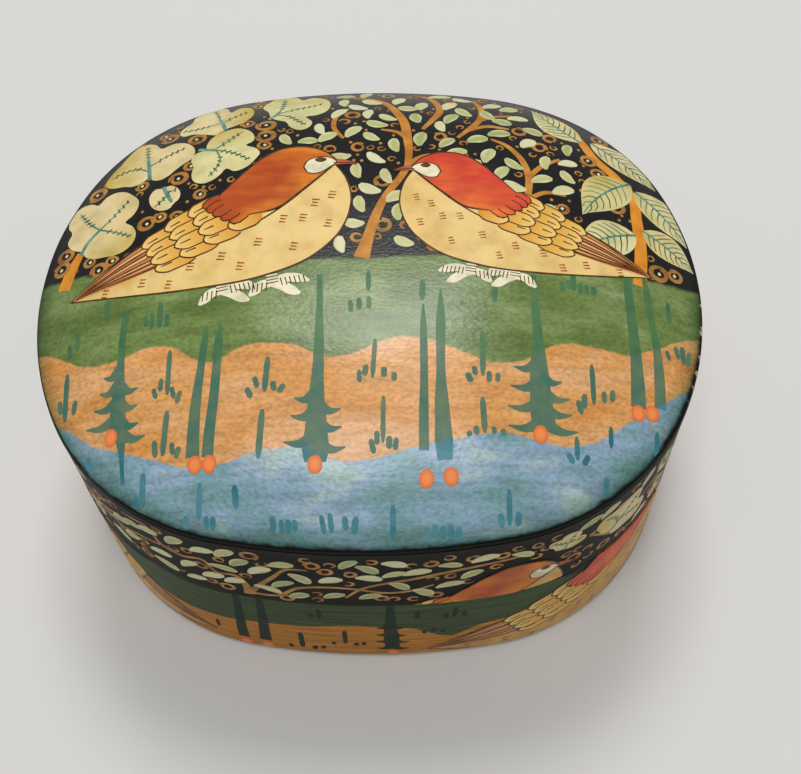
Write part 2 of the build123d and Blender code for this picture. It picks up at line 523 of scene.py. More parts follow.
# The hollow follows the dome a shell's thickness below it, but it is steeper towards its rim; where it
# flattens in the middle, the ceiling starts
ceiling_turn = 66
middle_sag = 0.6
crown_reach = 70.0
hollow_rise = dome_bottom + dome_rise - crown_thickness - crown_bottom
hollow_reach = (box_length + box_width) / 4 - wall
ceiling_share = np.cos(np.radians(ceiling_turn))
ceiling_inset = wall + hollow_reach * (1 - ceiling_share)
ceiling = crown_bottom + hollow_rise * (1 - ceiling_share**dome_power)
shares = np.linspace(0.06, 0.9, 9)
inside = [(ceiling_inset, ceiling + middle_sag * (1 - share**2), share) for share in shares]
shares = np.cos(np.radians(np.linspace(ceiling_turn, 0, 12)))
inside += [
    (wall + hollow_reach * (1 - share), crown_bottom + hollow_rise * (1 - share**dome_power), 1.0)
    for share in shares
]
inside += [(2 * wall / 3, crown_bottom, 1.0), (wall / 3, crown_bottom, 1.0)]
dome_start = (edge_reach, float(dome_height(1 - edge_reach / crown_reach)))
outside = [(0, crown_bottom, 1.0)] + rounded((0, crown_bottom), (0, dome_bottom), dome_start, edge_reach)
shares = np.sin(np.linspace(np.arcsin(0.985), 0.02, 64))
outside += [(0, dome_height(share), share) for share in shares]
rows = sink(carried(inside + outside), [0.0] * len(inside) + [1.0] * len(outside))
middle_high = dome_height(0) - sunk(np.array([0, 0, dome_height(0)]))
points = np.vstack([rows.reshape(-1, 3), (0, 0, ceiling + middle_sag), (0, 0, middle_high)])

# Thin coats of earth colours brushed to and fro along the box: streaks 14 mm long and 1.4 mm wide, over
# clouds of a few centimetres. Towards the edge the colour darkens: partly a dark line brushed along it,
# partly painted shade where the dome turns down. The edge is worn
crown_paint, place = lacquered("crown_paint", 0.6, 0.24, 0.045, 0.7, (1.6, 1.0, 1.0))
streaks = brushed(crown_paint, place, (14, 1.4, 4), 1.4)
mottle = brushed(crown_paint, place, (16, 8, 8), 8, 3.0)
fine = brushed(crown_paint, place, (1.1, 0.7, 0.7), 0.7, 3.0)
black = add(crown_paint, "ValToRGB", {"Fac": streaks}, stops=ground_stops)
field_stops = (
    ((0.35, "#62783a"), (0.5, "#758b4a"), (0.68, "#8f9f68")),
    ((0.35, "#e09a50"), (0.5, "#e6a765"), (0.68, "#e8b17c")),
    ((0.35, "#7aa2a6"), (0.47, "#88acba"), (0.56, "#96b0ca"), (0.68, "#b0c8c6")),
)
green, orange, blue = (add(crown_paint, "ValToRGB", {"Fac": mottle}, stops=stops) for stops in field_stops)


def shaded(material, colour, share, *stops):
    """A colour times a shade, which is a ramp over a share."""
    shade = add(material, "ValToRGB", {"Fac": share}, stops=stops)
    return add(material, "Mix", {0: 1.0, 6: colour, 7: shade}, blend_type="MULTIPLY", **mixed)


field = laid(crown_paint, black, green, "grass_depth", 1.2, 0.5)
field = laid(crown_paint, field, orange, "clay_depth", 0.8)
field = laid(crown_paint, field, blue, "water_depth", 0.8)
field = shaded(crown_paint, field, streaks, (0.32, "#e6e5e0"), (0.6, "#ffffff"))
field = shaded(crown_paint, field, fine, (0.32, "#dcdcd6"), (0.6, "#ffffff"))
# The dark line at the edge and painted shade: the fields darken over the last few millimetres inside it
inward = add(crown_paint, "MapRange", {"Value": "edge_depth", "From Min": -0.3, "From Max": 4.5})
field = shaded(crown_paint, field, inward, (0.0, "#6f8a7c"), (0.3, "#c2cfc4"), (1.0, "#ffffff"))
field = laid(crown_paint, black, field, "edge_depth", 1.4, 0.35)
feed(crown_paint, "Base Color", laid(crown_paint, field, "#a29a82", "chipped", 3.6, 0.15))
# Fingers have worn the gloss off the rim
faded = {"Value": "edge_depth", "From Min": -1.0, "From Max": 2.0, "To Min": 0.06, "To Max": 0.6}
feed(crown_paint, "Coat Weight", add(crown_paint, "MapRange", faded))

# The numbers for the fields at each point, which stay far below nought inside the hollow
unpainted, rim_depth, chip_fade = -20.0, -2.0, 0.8
x, y, z = points.T
share, length = share_at(x, y), length_towards(x, y)
inward = (1 - share) * np.hypot(x, y) / np.maximum(share, 0.01)
numbers = {
    "grass_depth": grass_top(x) - y,
    "clay_depth": clay_top(x) - y,
    "water_depth": water_top(x) - y,
    "edge_depth": np.where(z < dome_bottom, rim_depth, inward - border(length)),
    "chipped": chips(length) - chip_fade * np.hypot(inward, np.maximum(dome_bottom - z, 0)),
}
under = np.concatenate([np.arange(len(rows)).repeat(AROUND) < len(inside), [True, False]])
numbers = {label: np.where(under, unpainted, values) for label, values in numbers.items()}
crown = make_mesh("crown_shell", points, capped_faces(len(rows)), crown_paint, "lid", numbers)
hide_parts("lid_crown")

# ------------------------------------------------------------------ leaves on the lid
# Chinar leaves to the left and pointed leaves to the right, painted in thick cream body colour over
# the black ground, washed with yellow and green, and veined with a fine brush in grey-green.

PAINT_FOOT = 0.05
PAINTED_SHARE = 0.988


def on_crown(plan, lift):
    """Points of the crown over places of the plan, lifted off its painted surface. Places outside
    the crown's edge are drawn in to it."""
    plan = plan / np.maximum(share_at(plan[..., 0], plan[..., 1]) / PAINTED_SHARE, 1)[..., None]
    share = share_at(plan[..., 0], plan[..., 1])
    level = np.concatenate([plan, dome_height(share)[..., None]], -1)
    reach = np.hypot(plan[..., 0], plan[..., 1]) / np.maximum(share, 0.01)
    slope = dome_rise * dome_power * share ** (dome_power - 1) / np.maximum(reach, 1)
    level[..., 2] -= (sunk(level) - lift) * np.sqrt(1 + slope**2)
    return level


def on_side(place, lift):
    """Points of the upright side at arc lengths and heights, lifted off its painted surface. Towards
    the foot they are drawn in as its parabola is."""
    length, height = place[..., 0], place[..., 1]
    turn = turn_at(length)
    true_form = np.concatenate([oval(turn, 0 * turn), height[..., None]], -1)
    foot = np.maximum(np.sqrt(foot_reach) - np.sqrt(np.maximum(height, 0)), 0) ** 2
    inset = foot + sunk(true_form) - lift
    return np.concatenate([oval(turn, inset), height[..., None]], -1)


def through(points, spacing=1.5):
    """A smooth run through given points, whose further columns, such as width, run along: the
    same cubic as a smooth line, over the length of the straight pieces between the points."""
    points = np.array(points, float)
    length = length_of(points[:, :2])
    return hermite(length, points, np.linspace(0, length[-1], max(5, int(length[-1] / spacing) + 2)))


def film(place, plan, lift, tone=0.5, **numbers):
    """One closed film of paint. Its plan is a grid whose columns go round it: the last row or column
    lies at its edge, where its side goes down below the surface. Returns points, faces, numbers."""
    points = place(plan, lift)
    rows, columns = plan.shape[:2]
    faces = grid_faces(rows, columns, closed_columns=True)
    faces.append(list(range(columns)))
    faces.append(list(range((rows - 1) * columns, rows * columns))[::-1])
    numbers["tone"] = tone
    return points, faces, {label: value + np.zeros((rows, columns)) for label, value in numbers.items()}


def ribbon(place, grid, lift, tone=0.5):
    """A film over a grid of places that runs along a stroke and across it. Its sides are the grid's
    outer columns, doubled below the surface. It keeps how far along and across each point is."""
    rows, columns = grid.shape[:2]
    plan = np.concatenate([grid[:, :1], grid, grid[:, -1:]], 1)
    heights = np.full((rows, columns + 2), lift)
    heights[:, [0, -1]] = -PAINT_FOOT
    across = np.concatenate([[-1], np.linspace(-1, 1, columns), [1]])
    return film(place, plan, heights, tone, along=np.linspace(0, 1, rows)[:, None], across=across)


def stroke(place, points, lift, tone=0.5, spacing=1.5, columns=2):
    """A brush stroke through given points of place, place and width."""
    path = through(points, spacing)
    heading = np.gradient(path[:, :2], axis=0)
    heading /= np.linalg.norm(heading, axis=1, keepdims=True) + 1e-9
    leftward = np.stack([-heading[:, 1], heading[:, 0]], -1)
    widths = np.maximum(path[:, 2], 0.03)[:, None, None] * np.linspace(0.5, -0.5, columns)[:, None]
    return ribbon(place, path[:, None, :2] + leftward[:, None] * widths, lift, tone)


def between(place, first, second, lift, tone=0.5, rows=24, columns=8):
    """A film that fills the room between two smooth runs through given points."""
    edges = []
    for points in (first, second):
        path = through(points, 0.5)
        edges.append(hermite(np.linspace(0, 1, len(path)), path, np.linspace(0, 1, rows)))
    share = np.linspace(0, 1, columns)[:, None]
    return ribbon(place, edges[0][:, None] * (1 - share) + edges[1][:, None] * share, lift, tone)


def patch(place, outline, lift, tone=0.5, middle=None, spacing=1.4, tint=(0.0, 0.0)):
    """A film inside a smooth closed line through given points, in rings about its middle. It keeps
    how far out each point is, and a tint that grows in a direction and may be negative."""
    outline = np.array(outline, float)
    middle = outline.mean(0) if middle is None else np.array(middle, float)
    closed = np.vstack([outline[-2:], outline, outline[:3]])
    length = length_of(closed)
    start, end = length[2], length[-3]
    count = max(12, int((end - start) / spacing))
    line = hermite(length, closed, np.linspace(start, end, count, endpoint=False))
    if np.cross(line[0] - middle, line[1] - middle) > 0:
        line = line[::-1]
    out = np.array([0.06, 0.35, 0.62, 0.84, 1.0, 1.0])[:, None]
    plan = middle + (line - middle) * out[..., None]
    heights = np.full((len(out), count), lift)
    heights[-1] = -PAINT_FOOT
    size = np.linalg.norm(line - middle, axis=1).mean()
    return film(place, plan, heights, tone, out=out, tint=(plan - middle) @ np.array(tint) / size)


def painted(name, films, material, body, keep=None):
    """One piece from many films of the same paint. Its normals are turned outwards. Keep is a height
    and a sign: what lies on the other side of that height is cut off and the cut is closed. Films
    that lie there as a whole are left out, and with none left there is no piece."""
    if keep:
        height, sign = keep
        films = [drawn for drawn in films if (sign * (drawn[0][..., 2] - height)).max() > 0]
    if not films:
        return
    points, faces, numbers, first = [], [], {}, 0
    for film_points, film_faces, _ in films:
        points.append(film_points.reshape(-1, 3))
        faces += [[first + corner for corner in face] for face in film_faces]
        first += len(points[-1])
    for label in sorted({label for _, _, own in films for label in own}):
        values = [np.ravel(own.get(label, np.zeros(own["tone"].shape))) for _, _, own in films]
        numbers[label] = np.concatenate(values)
    piece = make_mesh(name, np.vstack(points), faces, material, body, numbers)
    solid = bmesh.new()
    solid.from_mesh(piece.data)
    if keep:
        plane = {"plane_co": (0, 0, height / METRE), "plane_no": (0, 0, -sign), "clear_outer": True}
        whole = solid.verts[:] + solid.edges[:] + solid.faces[:]
        cut = bmesh.ops.bisect_plane(solid, geom=whole, **plane)["geom_cut"]
        rim = [item for item in cut if isinstance(item, bmesh.types.BMEdge)]
        bmesh.ops.holes_fill(solid, edges=rim, sides=0)
    bmesh.ops.recalc_face_normals(solid, faces=solid.faces[:])
    solid.to_mesh(piece.data)
    solid.free()
    piece.data.set_sharp_from_angle(angle=CREASE)


# Body colour: white lead and chalk in glue, tinted cream, thick enough to hide the black. Yellow and
# green are washed over it while wet, so they fade across a leaf
leaf_cream, place = lacquered("leaf_cream")
cream_stops = ((0.0, "#cbca8e"), (0.5, "#ddd29a"), (1.0, "#e4cd98"))
cream = add(leaf_cream, "ValToRGB", {"Fac": "tone"}, stops=cream_stops)
cream = add(leaf_cream, "Mix", {0: "tint", 6: cream, 7: "#c9ad42"}, **mixed)
specks = brushed(leaf_cream, place, 5, 1.1)
feed(leaf_cream, "Base Color", shaded(leaf_cream, cream, specks, (0.3, "#e2e4d6"), (0.6, "#ffffff")))


def line_colour(name, stretch, width, first, second):
    """A line colour with two tones, one for each end of the strokes' range, both with fine specks."""
    material, place = lacquered(name)
    specks = brushed(material, place, stretch, width)
    feed(material, "Base Color", two_tone(material, specks, first, second, "tone"))
    return material


# Grey-green line colour: dark in the small ticks, thinned to blue-green in the stems and midribs, so
# the cream below shows where the brush ran dry
dark_green, thin_green = ((0.35, "#22402f"), (0.7, "#4a6a50")), ((0.35, "#47796c"), (0.7, "#7fa590"))
vein_green = line_colour("vein_green", 3, 0.8, dark_green, thin_green)

# Each chinar leaf: its lobed outline, its middle, how warm its cream is, which way the yellow grows, its
# stem, and the veins that fan out from it
chinar_leaves = [
    ([(-66, 9.6), (-68.6, 11.2), (-70.7, 14.4), (-70, 17), (-71.5, 19.7), (-71.5, 23), (-70.6, 25),
      (-68.6, 25.9), (-66.2, 25.4), (-64.2, 24), (-62.3, 26.1), (-60, 26.6), (-57.4, 25.7), (-55.2, 23.7),
      (-53.3, 21.1), (-53.3, 18.5), (-54.3, 16.6), (-55.8, 15.2), (-53.8, 13.3), (-52.6, 10.9), (-53, 8.2),
      (-54.5, 6.5), (-56.9, 5.7), (-59.5, 5.9), (-62.2, 6.3), (-64.7, 7.6)],
     (-61.4, 15), 0.95, (0.4, -0.5), [(-66.2, 8.8), (-64.9, 12), (-62.2, 14.9)],
     [[(-62.2, 14.9), (-59.5, 17.6), (-55.9, 22.2)], [(-62.2, 14.9), (-64.7, 17.3), (-69, 23.3)],
      [(-62.2, 14.9), (-58.3, 12.9), (-53.8, 10.3)]]),
    ([(-63.9, 31.8), (-63, 34.8), (-61.1, 37.9), (-59.9, 40.9), (-58.8, 43.2), (-57.4, 44.7), (-55.6, 44.9),
      (-52.9, 43.4), (-50.2, 40.1), (-48, 41), (-45.2, 40.5), (-42.7, 38.5), (-41.4, 35.5), (-42, 32.7),
      (-44, 31), (-45.5, 29.4), (-47, 27.8), (-49, 26.9), (-50.9, 27.6), (-51.8, 28.6), (-53.7, 27.5),
      (-55.8, 27.1), (-58.4, 28.1), (-61.2, 28.8), (-63.2, 30.2)],
     (-52.3, 34), 0.9, (-0.8, 0.1), [(-51.6, 27.8), (-52.5, 32.5), (-53.6, 37.2)],
     [[(-53.2, 35.4), (-54, 39.2), (-54.8, 43.2)], [(-52.5, 31.5), (-55.7, 33.7), (-58.8, 34), (-62.5, 33)],
      [(-52.5, 33.3), (-48.9, 35.7), (-44.2, 37.9)]]),
    ([(-38.8, 35.4), (-41.2, 34.4), (-41.9, 32.2), (-41, 29.5), (-41.1, 26.4), (-40.2, 24), (-37.9, 23),
      (-35.8, 23.7), (-34.2, 25.2), (-32.8, 27.2), (-31, 26), (-27.9, 27.2), (-26.2, 29.6), (-25.3, 31.7),
      (-26.4, 33.6), (-29, 35.3), (-27.4, 36.5), (-27.6, 39.5), (-29.4, 41.8), (-32.1, 43.1), (-34.9, 42.4),
      (-37.6, 40.4), (-38.7, 37.6)],
     (-34, 33.4), 0.5, (-0.2, 0.6), [(-40.6, 35.9), (-38, 35.2), (-36.2, 34.6)],
     [[(-38, 35.2), (-35.4, 34.4), (-32, 32.8), (-27.7, 29.7)],
      [(-36.1, 34.6), (-34.7, 31.1), (-35.3, 27.6), (-36.9, 25.2)],
      [(-36.6, 34.9), (-34, 37.2), (-31.8, 39.7), (-30.3, 41.1)]]),
    ([(-46.8, 45.3), (-46.4, 48.1), (-44.6, 50.5), (-44.2, 54.1), (-42.1, 56.5), (-39.6, 57.5), (-36.8, 57),
      (-34.8, 53.2), (-32.8, 55.4), (-30.5, 54.9), (-28.8, 51.3), (-29.3, 47.8), (-31.2, 45.5),
      (-33.3, 44.2), (-34.8, 43.6), (-36.8, 41.6), (-40.5, 42.8), (-43.4, 43.8), (-45.5, 43.7)],
     (-37.4, 49), 0.8, (0.9, 0.1), [(-34.8, 43), (-35.8, 46), (-37.1, 49.3)],
     [[(-37.1, 49.3), (-38.3, 53), (-39.3, 56)], [(-36.8, 47.2), (-39.7, 46.4), (-42.7, 46), (-45.9, 46.4)],
      [(-36.3, 47.3), (-33.8, 49.3), (-30.6, 52)]]),
    ([(-23.7, 46.3), (-25.1, 50.3), (-26.8, 53.4), (-25.6, 57.7), (-24.2, 60.6), (-22.2, 61.2),
      (-19.4, 60.6), (-17.1, 57.4), (-15, 59), (-11.7, 57.4), (-10, 52.5), (-10.8, 48.9), (-13, 47),
      (-15.5, 46.4), (-13.8, 43.4), (-14.4, 41.2), (-16.5, 40), (-18.9, 41.5), (-20.4, 44.4), (-22.1, 45.2)],
     (-18.8, 50.4), 0.4, (0.1, 0.4), [(-24.6, 46), (-23, 48.1), (-22.3, 49.8)],
     [[(-22.6, 49), (-21.9, 52), (-21.8, 58.6)],
      [(-22.8, 48.7), (-19.3, 50.5), (-15.5, 51.9), (-11.9, 53.8)],
      [(-22.9, 48.1), (-20.2, 47.4), (-17.6, 44.7), (-15.4, 42.3)]]),
    ([(-50.5, 19.8), (-50.6, 22.2), (-49.4, 23.8), (-47.6, 23.5), (-46.1, 24.1), (-44.2, 23), (-43.1, 20.9),
      (-43.3, 19), (-44.4, 17.9), (-45, 16.7), (-46.9, 16.2), (-48.7, 17)],
     (-46.8, 20.2), 0.9, (0.0, 0.2), [(-47.6, 24), (-46.3, 21.2), (-44.9, 18.4)],
     [[(-46.3, 20.9), (-47.8, 19), (-49, 17.8)], [(-46.7, 21.8), (-45.5, 22), (-44.3, 22.6)]]),
]

leaf_lift = 0.03
vein_lift = 0.05
vein_width = 0.45
stem_width = 1.0
tick_spacing = 1.5
tick_length = 1.5
tick_widths = [0.46, 0.34]
tick_slant = [[0.45, 0.9], [-0.9, 0.45]]


def ticked_vein(place, points):
    """A vein that thins towards its tip, with short slanting ticks over its outer two thirds."""
    width = np.linspace(vein_width, 0.6 * vein_width, len(points))
    films = [stroke(place, np.column_stack([points, width]), vein_lift, 0.6)]
    path = through(points, 0.25)
    heading = np.gradient(path, axis=0)
    heading /= np.linalg.norm(heading, axis=1, keepdims=True)
    along = length_of(path)[1:]
    for distance in np.arange(along[-1] / 3, along[-1], tick_spacing):
        at = np.searchsorted(along, distance)
        way = heading[at] @ tick_slant * tick_length * rng.uniform(0.8, 1.15) / 2
        ends = np.column_stack([[path[at] - way, path[at] + way], tick_widths])
        films.append(stroke(place, ends, vein_lift + 0.01, 0.4 * any_tone()))
    return films


def any_tone():
    """A random tone, for strokes that came out lighter or darker."""
    return float(rng.uniform(0, 1))


def toward(angle):
    """Two unit vectors: one in the direction of an angle in degrees, and one to its left."""
    cosine, sine = np.cos(np.radians(angle)), np.sin(np.radians(angle))
    return np.array([[cosine, sine], [-sine, cosine]])


def chinar_leaf(place, leaf, at=None, size=1.0, turn=0.0):
    """A leaf and its lines, drawn about its middle. It may be moved to another place, made smaller, and
    turned by an angle in degrees."""
    outline, middle, tone, tint, stem, veins = leaf
    middle = np.array(middle, float)

    def put(points):
        return (np.array(points) - middle) @ (size * toward(turn)) + (middle if at is None else at)

    leaf = patch(place, put(outline), leaf_lift, tone, put(middle), 0.9, tint)
    stem = np.column_stack([put(stem), size**0.5 * stem_width * np.array([1, 1, 0.8])])
    lines = [stroke(place, stem, vein_lift + 0.005, 1.0)]
    for points in veins:
        lines += ticked_vein(place, put(points))
    return leaf, lines


drawn = [chinar_leaf(on_crown, leaf) for leaf in chinar_leaves]


def pointed_leaf(place, base, tip, left, right, bend, tone, tint):
    """A leaf from its base to its tip, whose half widths swell to left and right by a sine of the
    share of its length to the power 0.8 and fall away hollow to a sharp tip, on a midrib bent by a
    parabola. Returns the leaf and the midrib and side veins on it."""
    base, tip = np.array(base, float), np.array(tip, float)
    length = np.linalg.norm(tip - base)
    ahead = (tip - base) / length
    leftward = np.array([-ahead[1], ahead[0]])

    def at(share, side):
        share, side = np.broadcast_arrays(np.asarray(share, float), np.asarray(side, float))
        swell = np.sin(np.pi * np.clip(share, 0, 1) ** 0.8) ** 0.85 * (1 - 0.6 * share**6)
        half = np.where(side > 0, left, right) * swell * side + bend * 4 * share * (1 - share)
        return base + (share * length)[..., None] * ahead + half[..., None] * leftward

    shares = np.linspace(0.01, 0.995, 16)[:, None]
    sides = np.linspace(1, -1, 7)
    leaf = ribbon(place, at(shares, sides), leaf_lift, tone)
    leaf[2]["tint"] = np.clip(tint * (1.1 - leaf[2]["along"]) * (0.6 + 0.4 * leaf[2]["across"]), 0, 1)
    rib = np.linspace(0.0, 0.97, 5)
    veins = [stroke(place, np.column_stack([at(rib, 0.0 * rib), np.linspace(0.65, 0.3, 5)]), vein_lift, 0.8)]
    for side in (1, -1):
        for share in np.arange(0.12, 0.85, 0.105) + 0.02 * side:
            vein = at(share + np.array([0.0, 0.06, 0.16]), side * np.array([0.0, 0.45, 0.86]))
            veins.append(stroke(place, np.column_stack([vein, [0.36, 0.3, 0.2]]), vein_lift, any_tone()))
    return leaf, veins


pointed_leaves = [
    ((50.6, 41.0), (39.6, 54.4), 4.6, 4.2, 0.8, 0.5, 0.3),
    ((53.2, 42.0), (68.2, 29.4), 4.4, 4.2, 0.6, 0.7, 0.1),
    ((61.4, 28.6), (48.6, 14.4), 5.2, 5.4, -1.2, 0.4, 0.9),
    ((62.4, 26.4), (74.2, 12.6), 5.0, 4.6, 1.0, 0.6, 0.35),
    ((60.9, 11.4), (46.6, 3.6), 5.2, 5.0, -1.0, 0.5, 0.1),
    ((62.8, 13.4), (74.6, 5.4), 4.2, 4.0, 0.6, 0.7, 0.5),
]
drawn += [pointed_leaf(on_crown, *leaf) for leaf in pointed_leaves]
painted("lid_leaves", [leaf for leaf, _ in drawn], leaf_cream, "lid")
painted("lid_veins", [vein for _, veins in drawn for vein in veins], vein_green, "lid")

# ------------------------------------------------------------------ stems and scrolls on the lid
# Trunks, vine stems, scrolls and dots in yellow ochre, drawn with a round brush that swells in the
# middle of a stroke. They fill the black ground between the leaves.

stem_lift = 0.02
SCROLL_TURNS = 1.15
CURL_STEPS = 14
DOT_SIZE = 0.8

# Yellow ochre in glue, laid in one pass: a thin brown where the brush was dry, orange where it was full
thin_ochre, full_ochre = ((0.3, "#7a5026"), (0.7, "#bd8a45")), ((0.3, "#cf7d1b"), (0.7, "#e89a34"))
stem_ochre = line_colour("stem_ochre", 4, 0.9, thin_ochre, full_ochre)


def scroll(place, start, angle, size, hand, width):
    """A scroll from a point: it heads off at an angle in degrees and curls up to the left or right, as
    hand is 1 or -1, through 1.15 turns, in which its radius falls from the size by a third. Returns
    the stroke, and the middle of its curl."""
    share = np.linspace(0, 1, CURL_STEPS)
    turned = np.radians(angle) + hand * share * SCROLL_TURNS * 2 * np.pi
    pace = size * (1 - 0.36 * share) * SCROLL_TURNS * 2 * np.pi / (CURL_STEPS - 1)
    steps = np.column_stack([np.cos(turned), np.sin(turned)]) * pace[:, None]
    path = np.array(start) + np.cumsum(steps, 0) - steps[0]
    widths = width * (0.4 + 0.6 * np.sin(np.pi * np.clip(share + 0.08, 0, 1)))
    return stroke(place, np.column_stack([path, widths]), stem_lift, 0.15, 0.8, 3), path[3:].mean(0)


def curl(place, middle, angle, size, hand, tone=0.1, turns=1.16):
    """A stroke that winds through so many turns round an eye: its radius falls from the size by a
    third, its width swells to six tenths of the size, and the eye is a little longer than wide."""
    share = np.linspace(0, 1, CURL_STEPS)
    turned = np.radians(angle) + hand * share * turns * 2 * np.pi
    reach = size * (1.12 - 0.42 * share)
    path = np.array(middle) + reach[:, None] * np.column_stack([np.cos(turned), 0.9 * np.sin(turned)])
    widths = size * (0.2 + 0.4 * np.sin(np.pi * share))
    return stroke(place, np.column_stack([path, widths]), stem_lift, tone, 0.8, 3)


def dot(place, middle, tone):
    """A round touch of the brush, a little longer than wide."""
    around = np.linspace(0, 2 * np.pi, 8, endpoint=False)
    outline = np.array(middle) + DOT_SIZE / 2 * np.column_stack([np.cos(around), 1.15 * np.sin(around)])
    return patch(place, outline, stem_lift, tone, middle, 0.45)


trunks = [
    [(-69.2, -0.2, 3.4), (-67.8, 5.5, 3.0), (-66.2, 9.4, 2.0)],
    [(60.4, -3.0, 3.2), (61.6, 6, 3.0), (61.7, 16, 2.8), (61.4, 24, 2.6), (58.3, 29.3, 2.6), (53.4, 35, 2.4),
     (50.9, 41.4, 2.0), (50.4, 43.5, 1.2)],
    [(-0.9, -0.8, 3.6), (0.3, 4, 2.6), (1.8, 10, 2.2), (4, 16, 1.8), (7.4, 22, 1.7), (10.4, 27.4, 1.6),
     (13, 29.2, 1.4), (17, 29.8, 0.8)],
    [(9, 25, 1.4), (9.4, 31, 1.8), (8.9, 37, 2.2), (8.2, 42.4, 2.2), (6.2, 48, 2.0), (3.4, 53, 1.6),
     (-1, 56.2, 1.3), (-4.6, 57.2, 0.8)],
    [(9.4, 35.6, 1.6), (6.4, 38.4, 1.1), (2.8, 39.4, 0.7)],
    [(12.6, 39.6, 1.0), (15, 44, 1.5), (16.8, 48.6, 1.8), (16, 53.4, 1.6), (13.6, 57.8, 1.2),
     (10.4, 59.6, 0.8)],
    [(20.8, 36.4, 0.9), (23.6, 40.2, 1.3), (26.2, 44.6, 1.6), (27, 50, 1.6), (25.2, 56.6, 1.0)],
    [(26.2, 44.6, 1.4), (29.8, 47.2, 1.2), (34.4, 48.6, 0.8)],
    [(23, 39.4, 1.1), (28, 42, 1.2), (33.2, 41.6, 0.8)],
    [(37.6, 11, 1.4), (36.4, 17, 1.6), (36.8, 24, 1.7), (35.2, 30.4, 1.5), (31.6, 35, 1.1),
     (28.6, 36.6, 0.7)],
    [(36.8, 24, 1.3), (40.4, 28.6, 1.2), (44.6, 31.8, 0.8)],
    [(36.4, 17, 1.2), (40.6, 19.6, 1.1), (45.2, 19.4, 0.7)],
    [(-6, 36, 0.8), (-8.4, 40.4, 1.2), (-8, 46, 1.1), (-5.4, 50, 0.7)],
]
trunk_tones = [0.95, 0.95] + [0.45] * (len(trunks) - 2)
stem_films = [stroke(on_crown, points, stem_lift, tone, 1.2, 3) for points, tone in zip(trunks, trunk_tones)]

# Curls between the chinar leaves: the place of each eye, the angle at which its stroke starts, its size
# and the way it winds
eye_curls = [
    ((-49.2, 44.4), 200, 2.0, 1), ((-41.8, 40.9), 250, 2.1, 1), ((-27.6, 55.2), 180, 2.0, -1),
    ((-24.9, 43.2), 150, 2.2, 1), ((-24.6, 38.4), 180, 2.2, 1), ((-44.2, 26.0), 200, 2.1, -1),
    ((-41.6, 29.9), 330, 1.7, 1), ((-53.2, 26.2), 180, 1.5, 1), ((-65.4, 28.4), 220, 2.2, 1),
    ((-63.0, 31.4), 300, 1.2, 1), ((-70.2, 10.2), 60, 2.0, 1), ((-70.9, 6.2), 160, 2.0, -1),
    ((-63.2, 5.6), 20, 1.5, 1), ((-60.6, 2.4), 200, 1.9, -1), ((-57.4, 4.2), 80, 1.5, 1),
    ((-50.2, 13.0), 0, 2.0, 1), ((-47.2, 14.4), 120, 1.5, 1), ((-36.6, 42.4), 100, 1.3, -1),
    ((-50.6, 46.4), 20, 1.5, -1), ((-57.8, 46.2), 60, 1.6, 1), ((-29.6, 44.6), 200, 1.6, -1),
    ((-53.0, 3.4), 30, 1.9, 1), ((-43.2, 13.6), 170, 1.6, -1), ((-24.4, 34.6), 60, 1.6, 1),
    ((-46.0, 7.0), 250, 1.7, 1), ((-38.2, 19.6), 20, 1.5, 1), ((-28.2, 59.6), 20, 1.4, 1),
    ((51.6, 33.6), 200, 1.9, 1), ((56.0, 44.6), 70, 2.0, 1), ((53.8, 29.2), 240, 1.7, -1),
    ((57.0, 19.0), 200, 1.9, 1), ((56.2, 1.2), 150, 2.1, -1), ((51.4, 0.4), 20, 2.0, 1),
    ((65.6, 1.8), 20, 2.1, 1), ((69.4, 2.6), 120, 1.7, -1), ((44.0, 15.2), 150, 1.5, 1),
]
stem_films += [curl(on_crown, *eye_curl) for eye_curl in eye_curls]
eye_films = [dot(on_crown, middle, 0.9) for middle, *_ in eye_curls]

scrolls = [
    ((3.4, 10.0), 20, 1.8, -1), ((2.2, 19.6), 150, 1.8, -1), ((12.6, 19.0), 30, 1.8, -1),
    ((-3.4, 44.8), 20, 1.8, 1), ((15.4, 37.6), 60, 1.6, -1), ((22.2, 31.2), 150, 1.6, 1),
    ((35.2, 43.0), 20, 1.8, -1), ((5.2, 57.8), 40, 1.6, 1), ((20.0, 57.4), -20, 1.6, -1),
    ((41.8, 34.8), 60, 1.8, 1), ((-1.2, 33.6), 120, 1.6, 1), ((43.2, 38.2), 200, 1.7, -1),
]
taken = [(*middle, size) for middle, _, size, _ in eye_curls]
for start, angle, size, hand in scrolls:
    drawn, middle = scroll(on_crown, start, angle, size, hand, 0.55 * size)
    stem_films.append(drawn)
    taken.append((*middle, size))

# ------------------------------------------------------------------ vine leaves on the lid
# Small leaves of the same cream, each one or two presses of a loaded brush, with a touch of yellow
# green down the middle. They stand out from both sides of the ochre stems.

# The same cream in quick touches: paler at the rim where it pools, yellow-green along the middle
vine_cream, place = lacquered("vine_cream")
specks = brushed(vine_cream, place, 3, 0.7)
squared = add(vine_cream, "Math", {0: "across", 1: "across"}, operation="MULTIPLY")
middle_stops = ((0.0, "#98a05a"), (0.6, "#c6c07e"), (1.0, "#dcd6ac"))
middle = add(vine_cream, "ValToRGB", {"Fac": "tone"}, stops=middle_stops)
rim = add(vine_cream, "ValToRGB", {"Fac": specks}, stops=((0.3, "#a9b083"), (0.6, "#dcdab4")))
feed(vine_cream, "Base Color", add(vine_cream, "Mix", {0: squared, 6: middle, 7: rim}, **mixed))


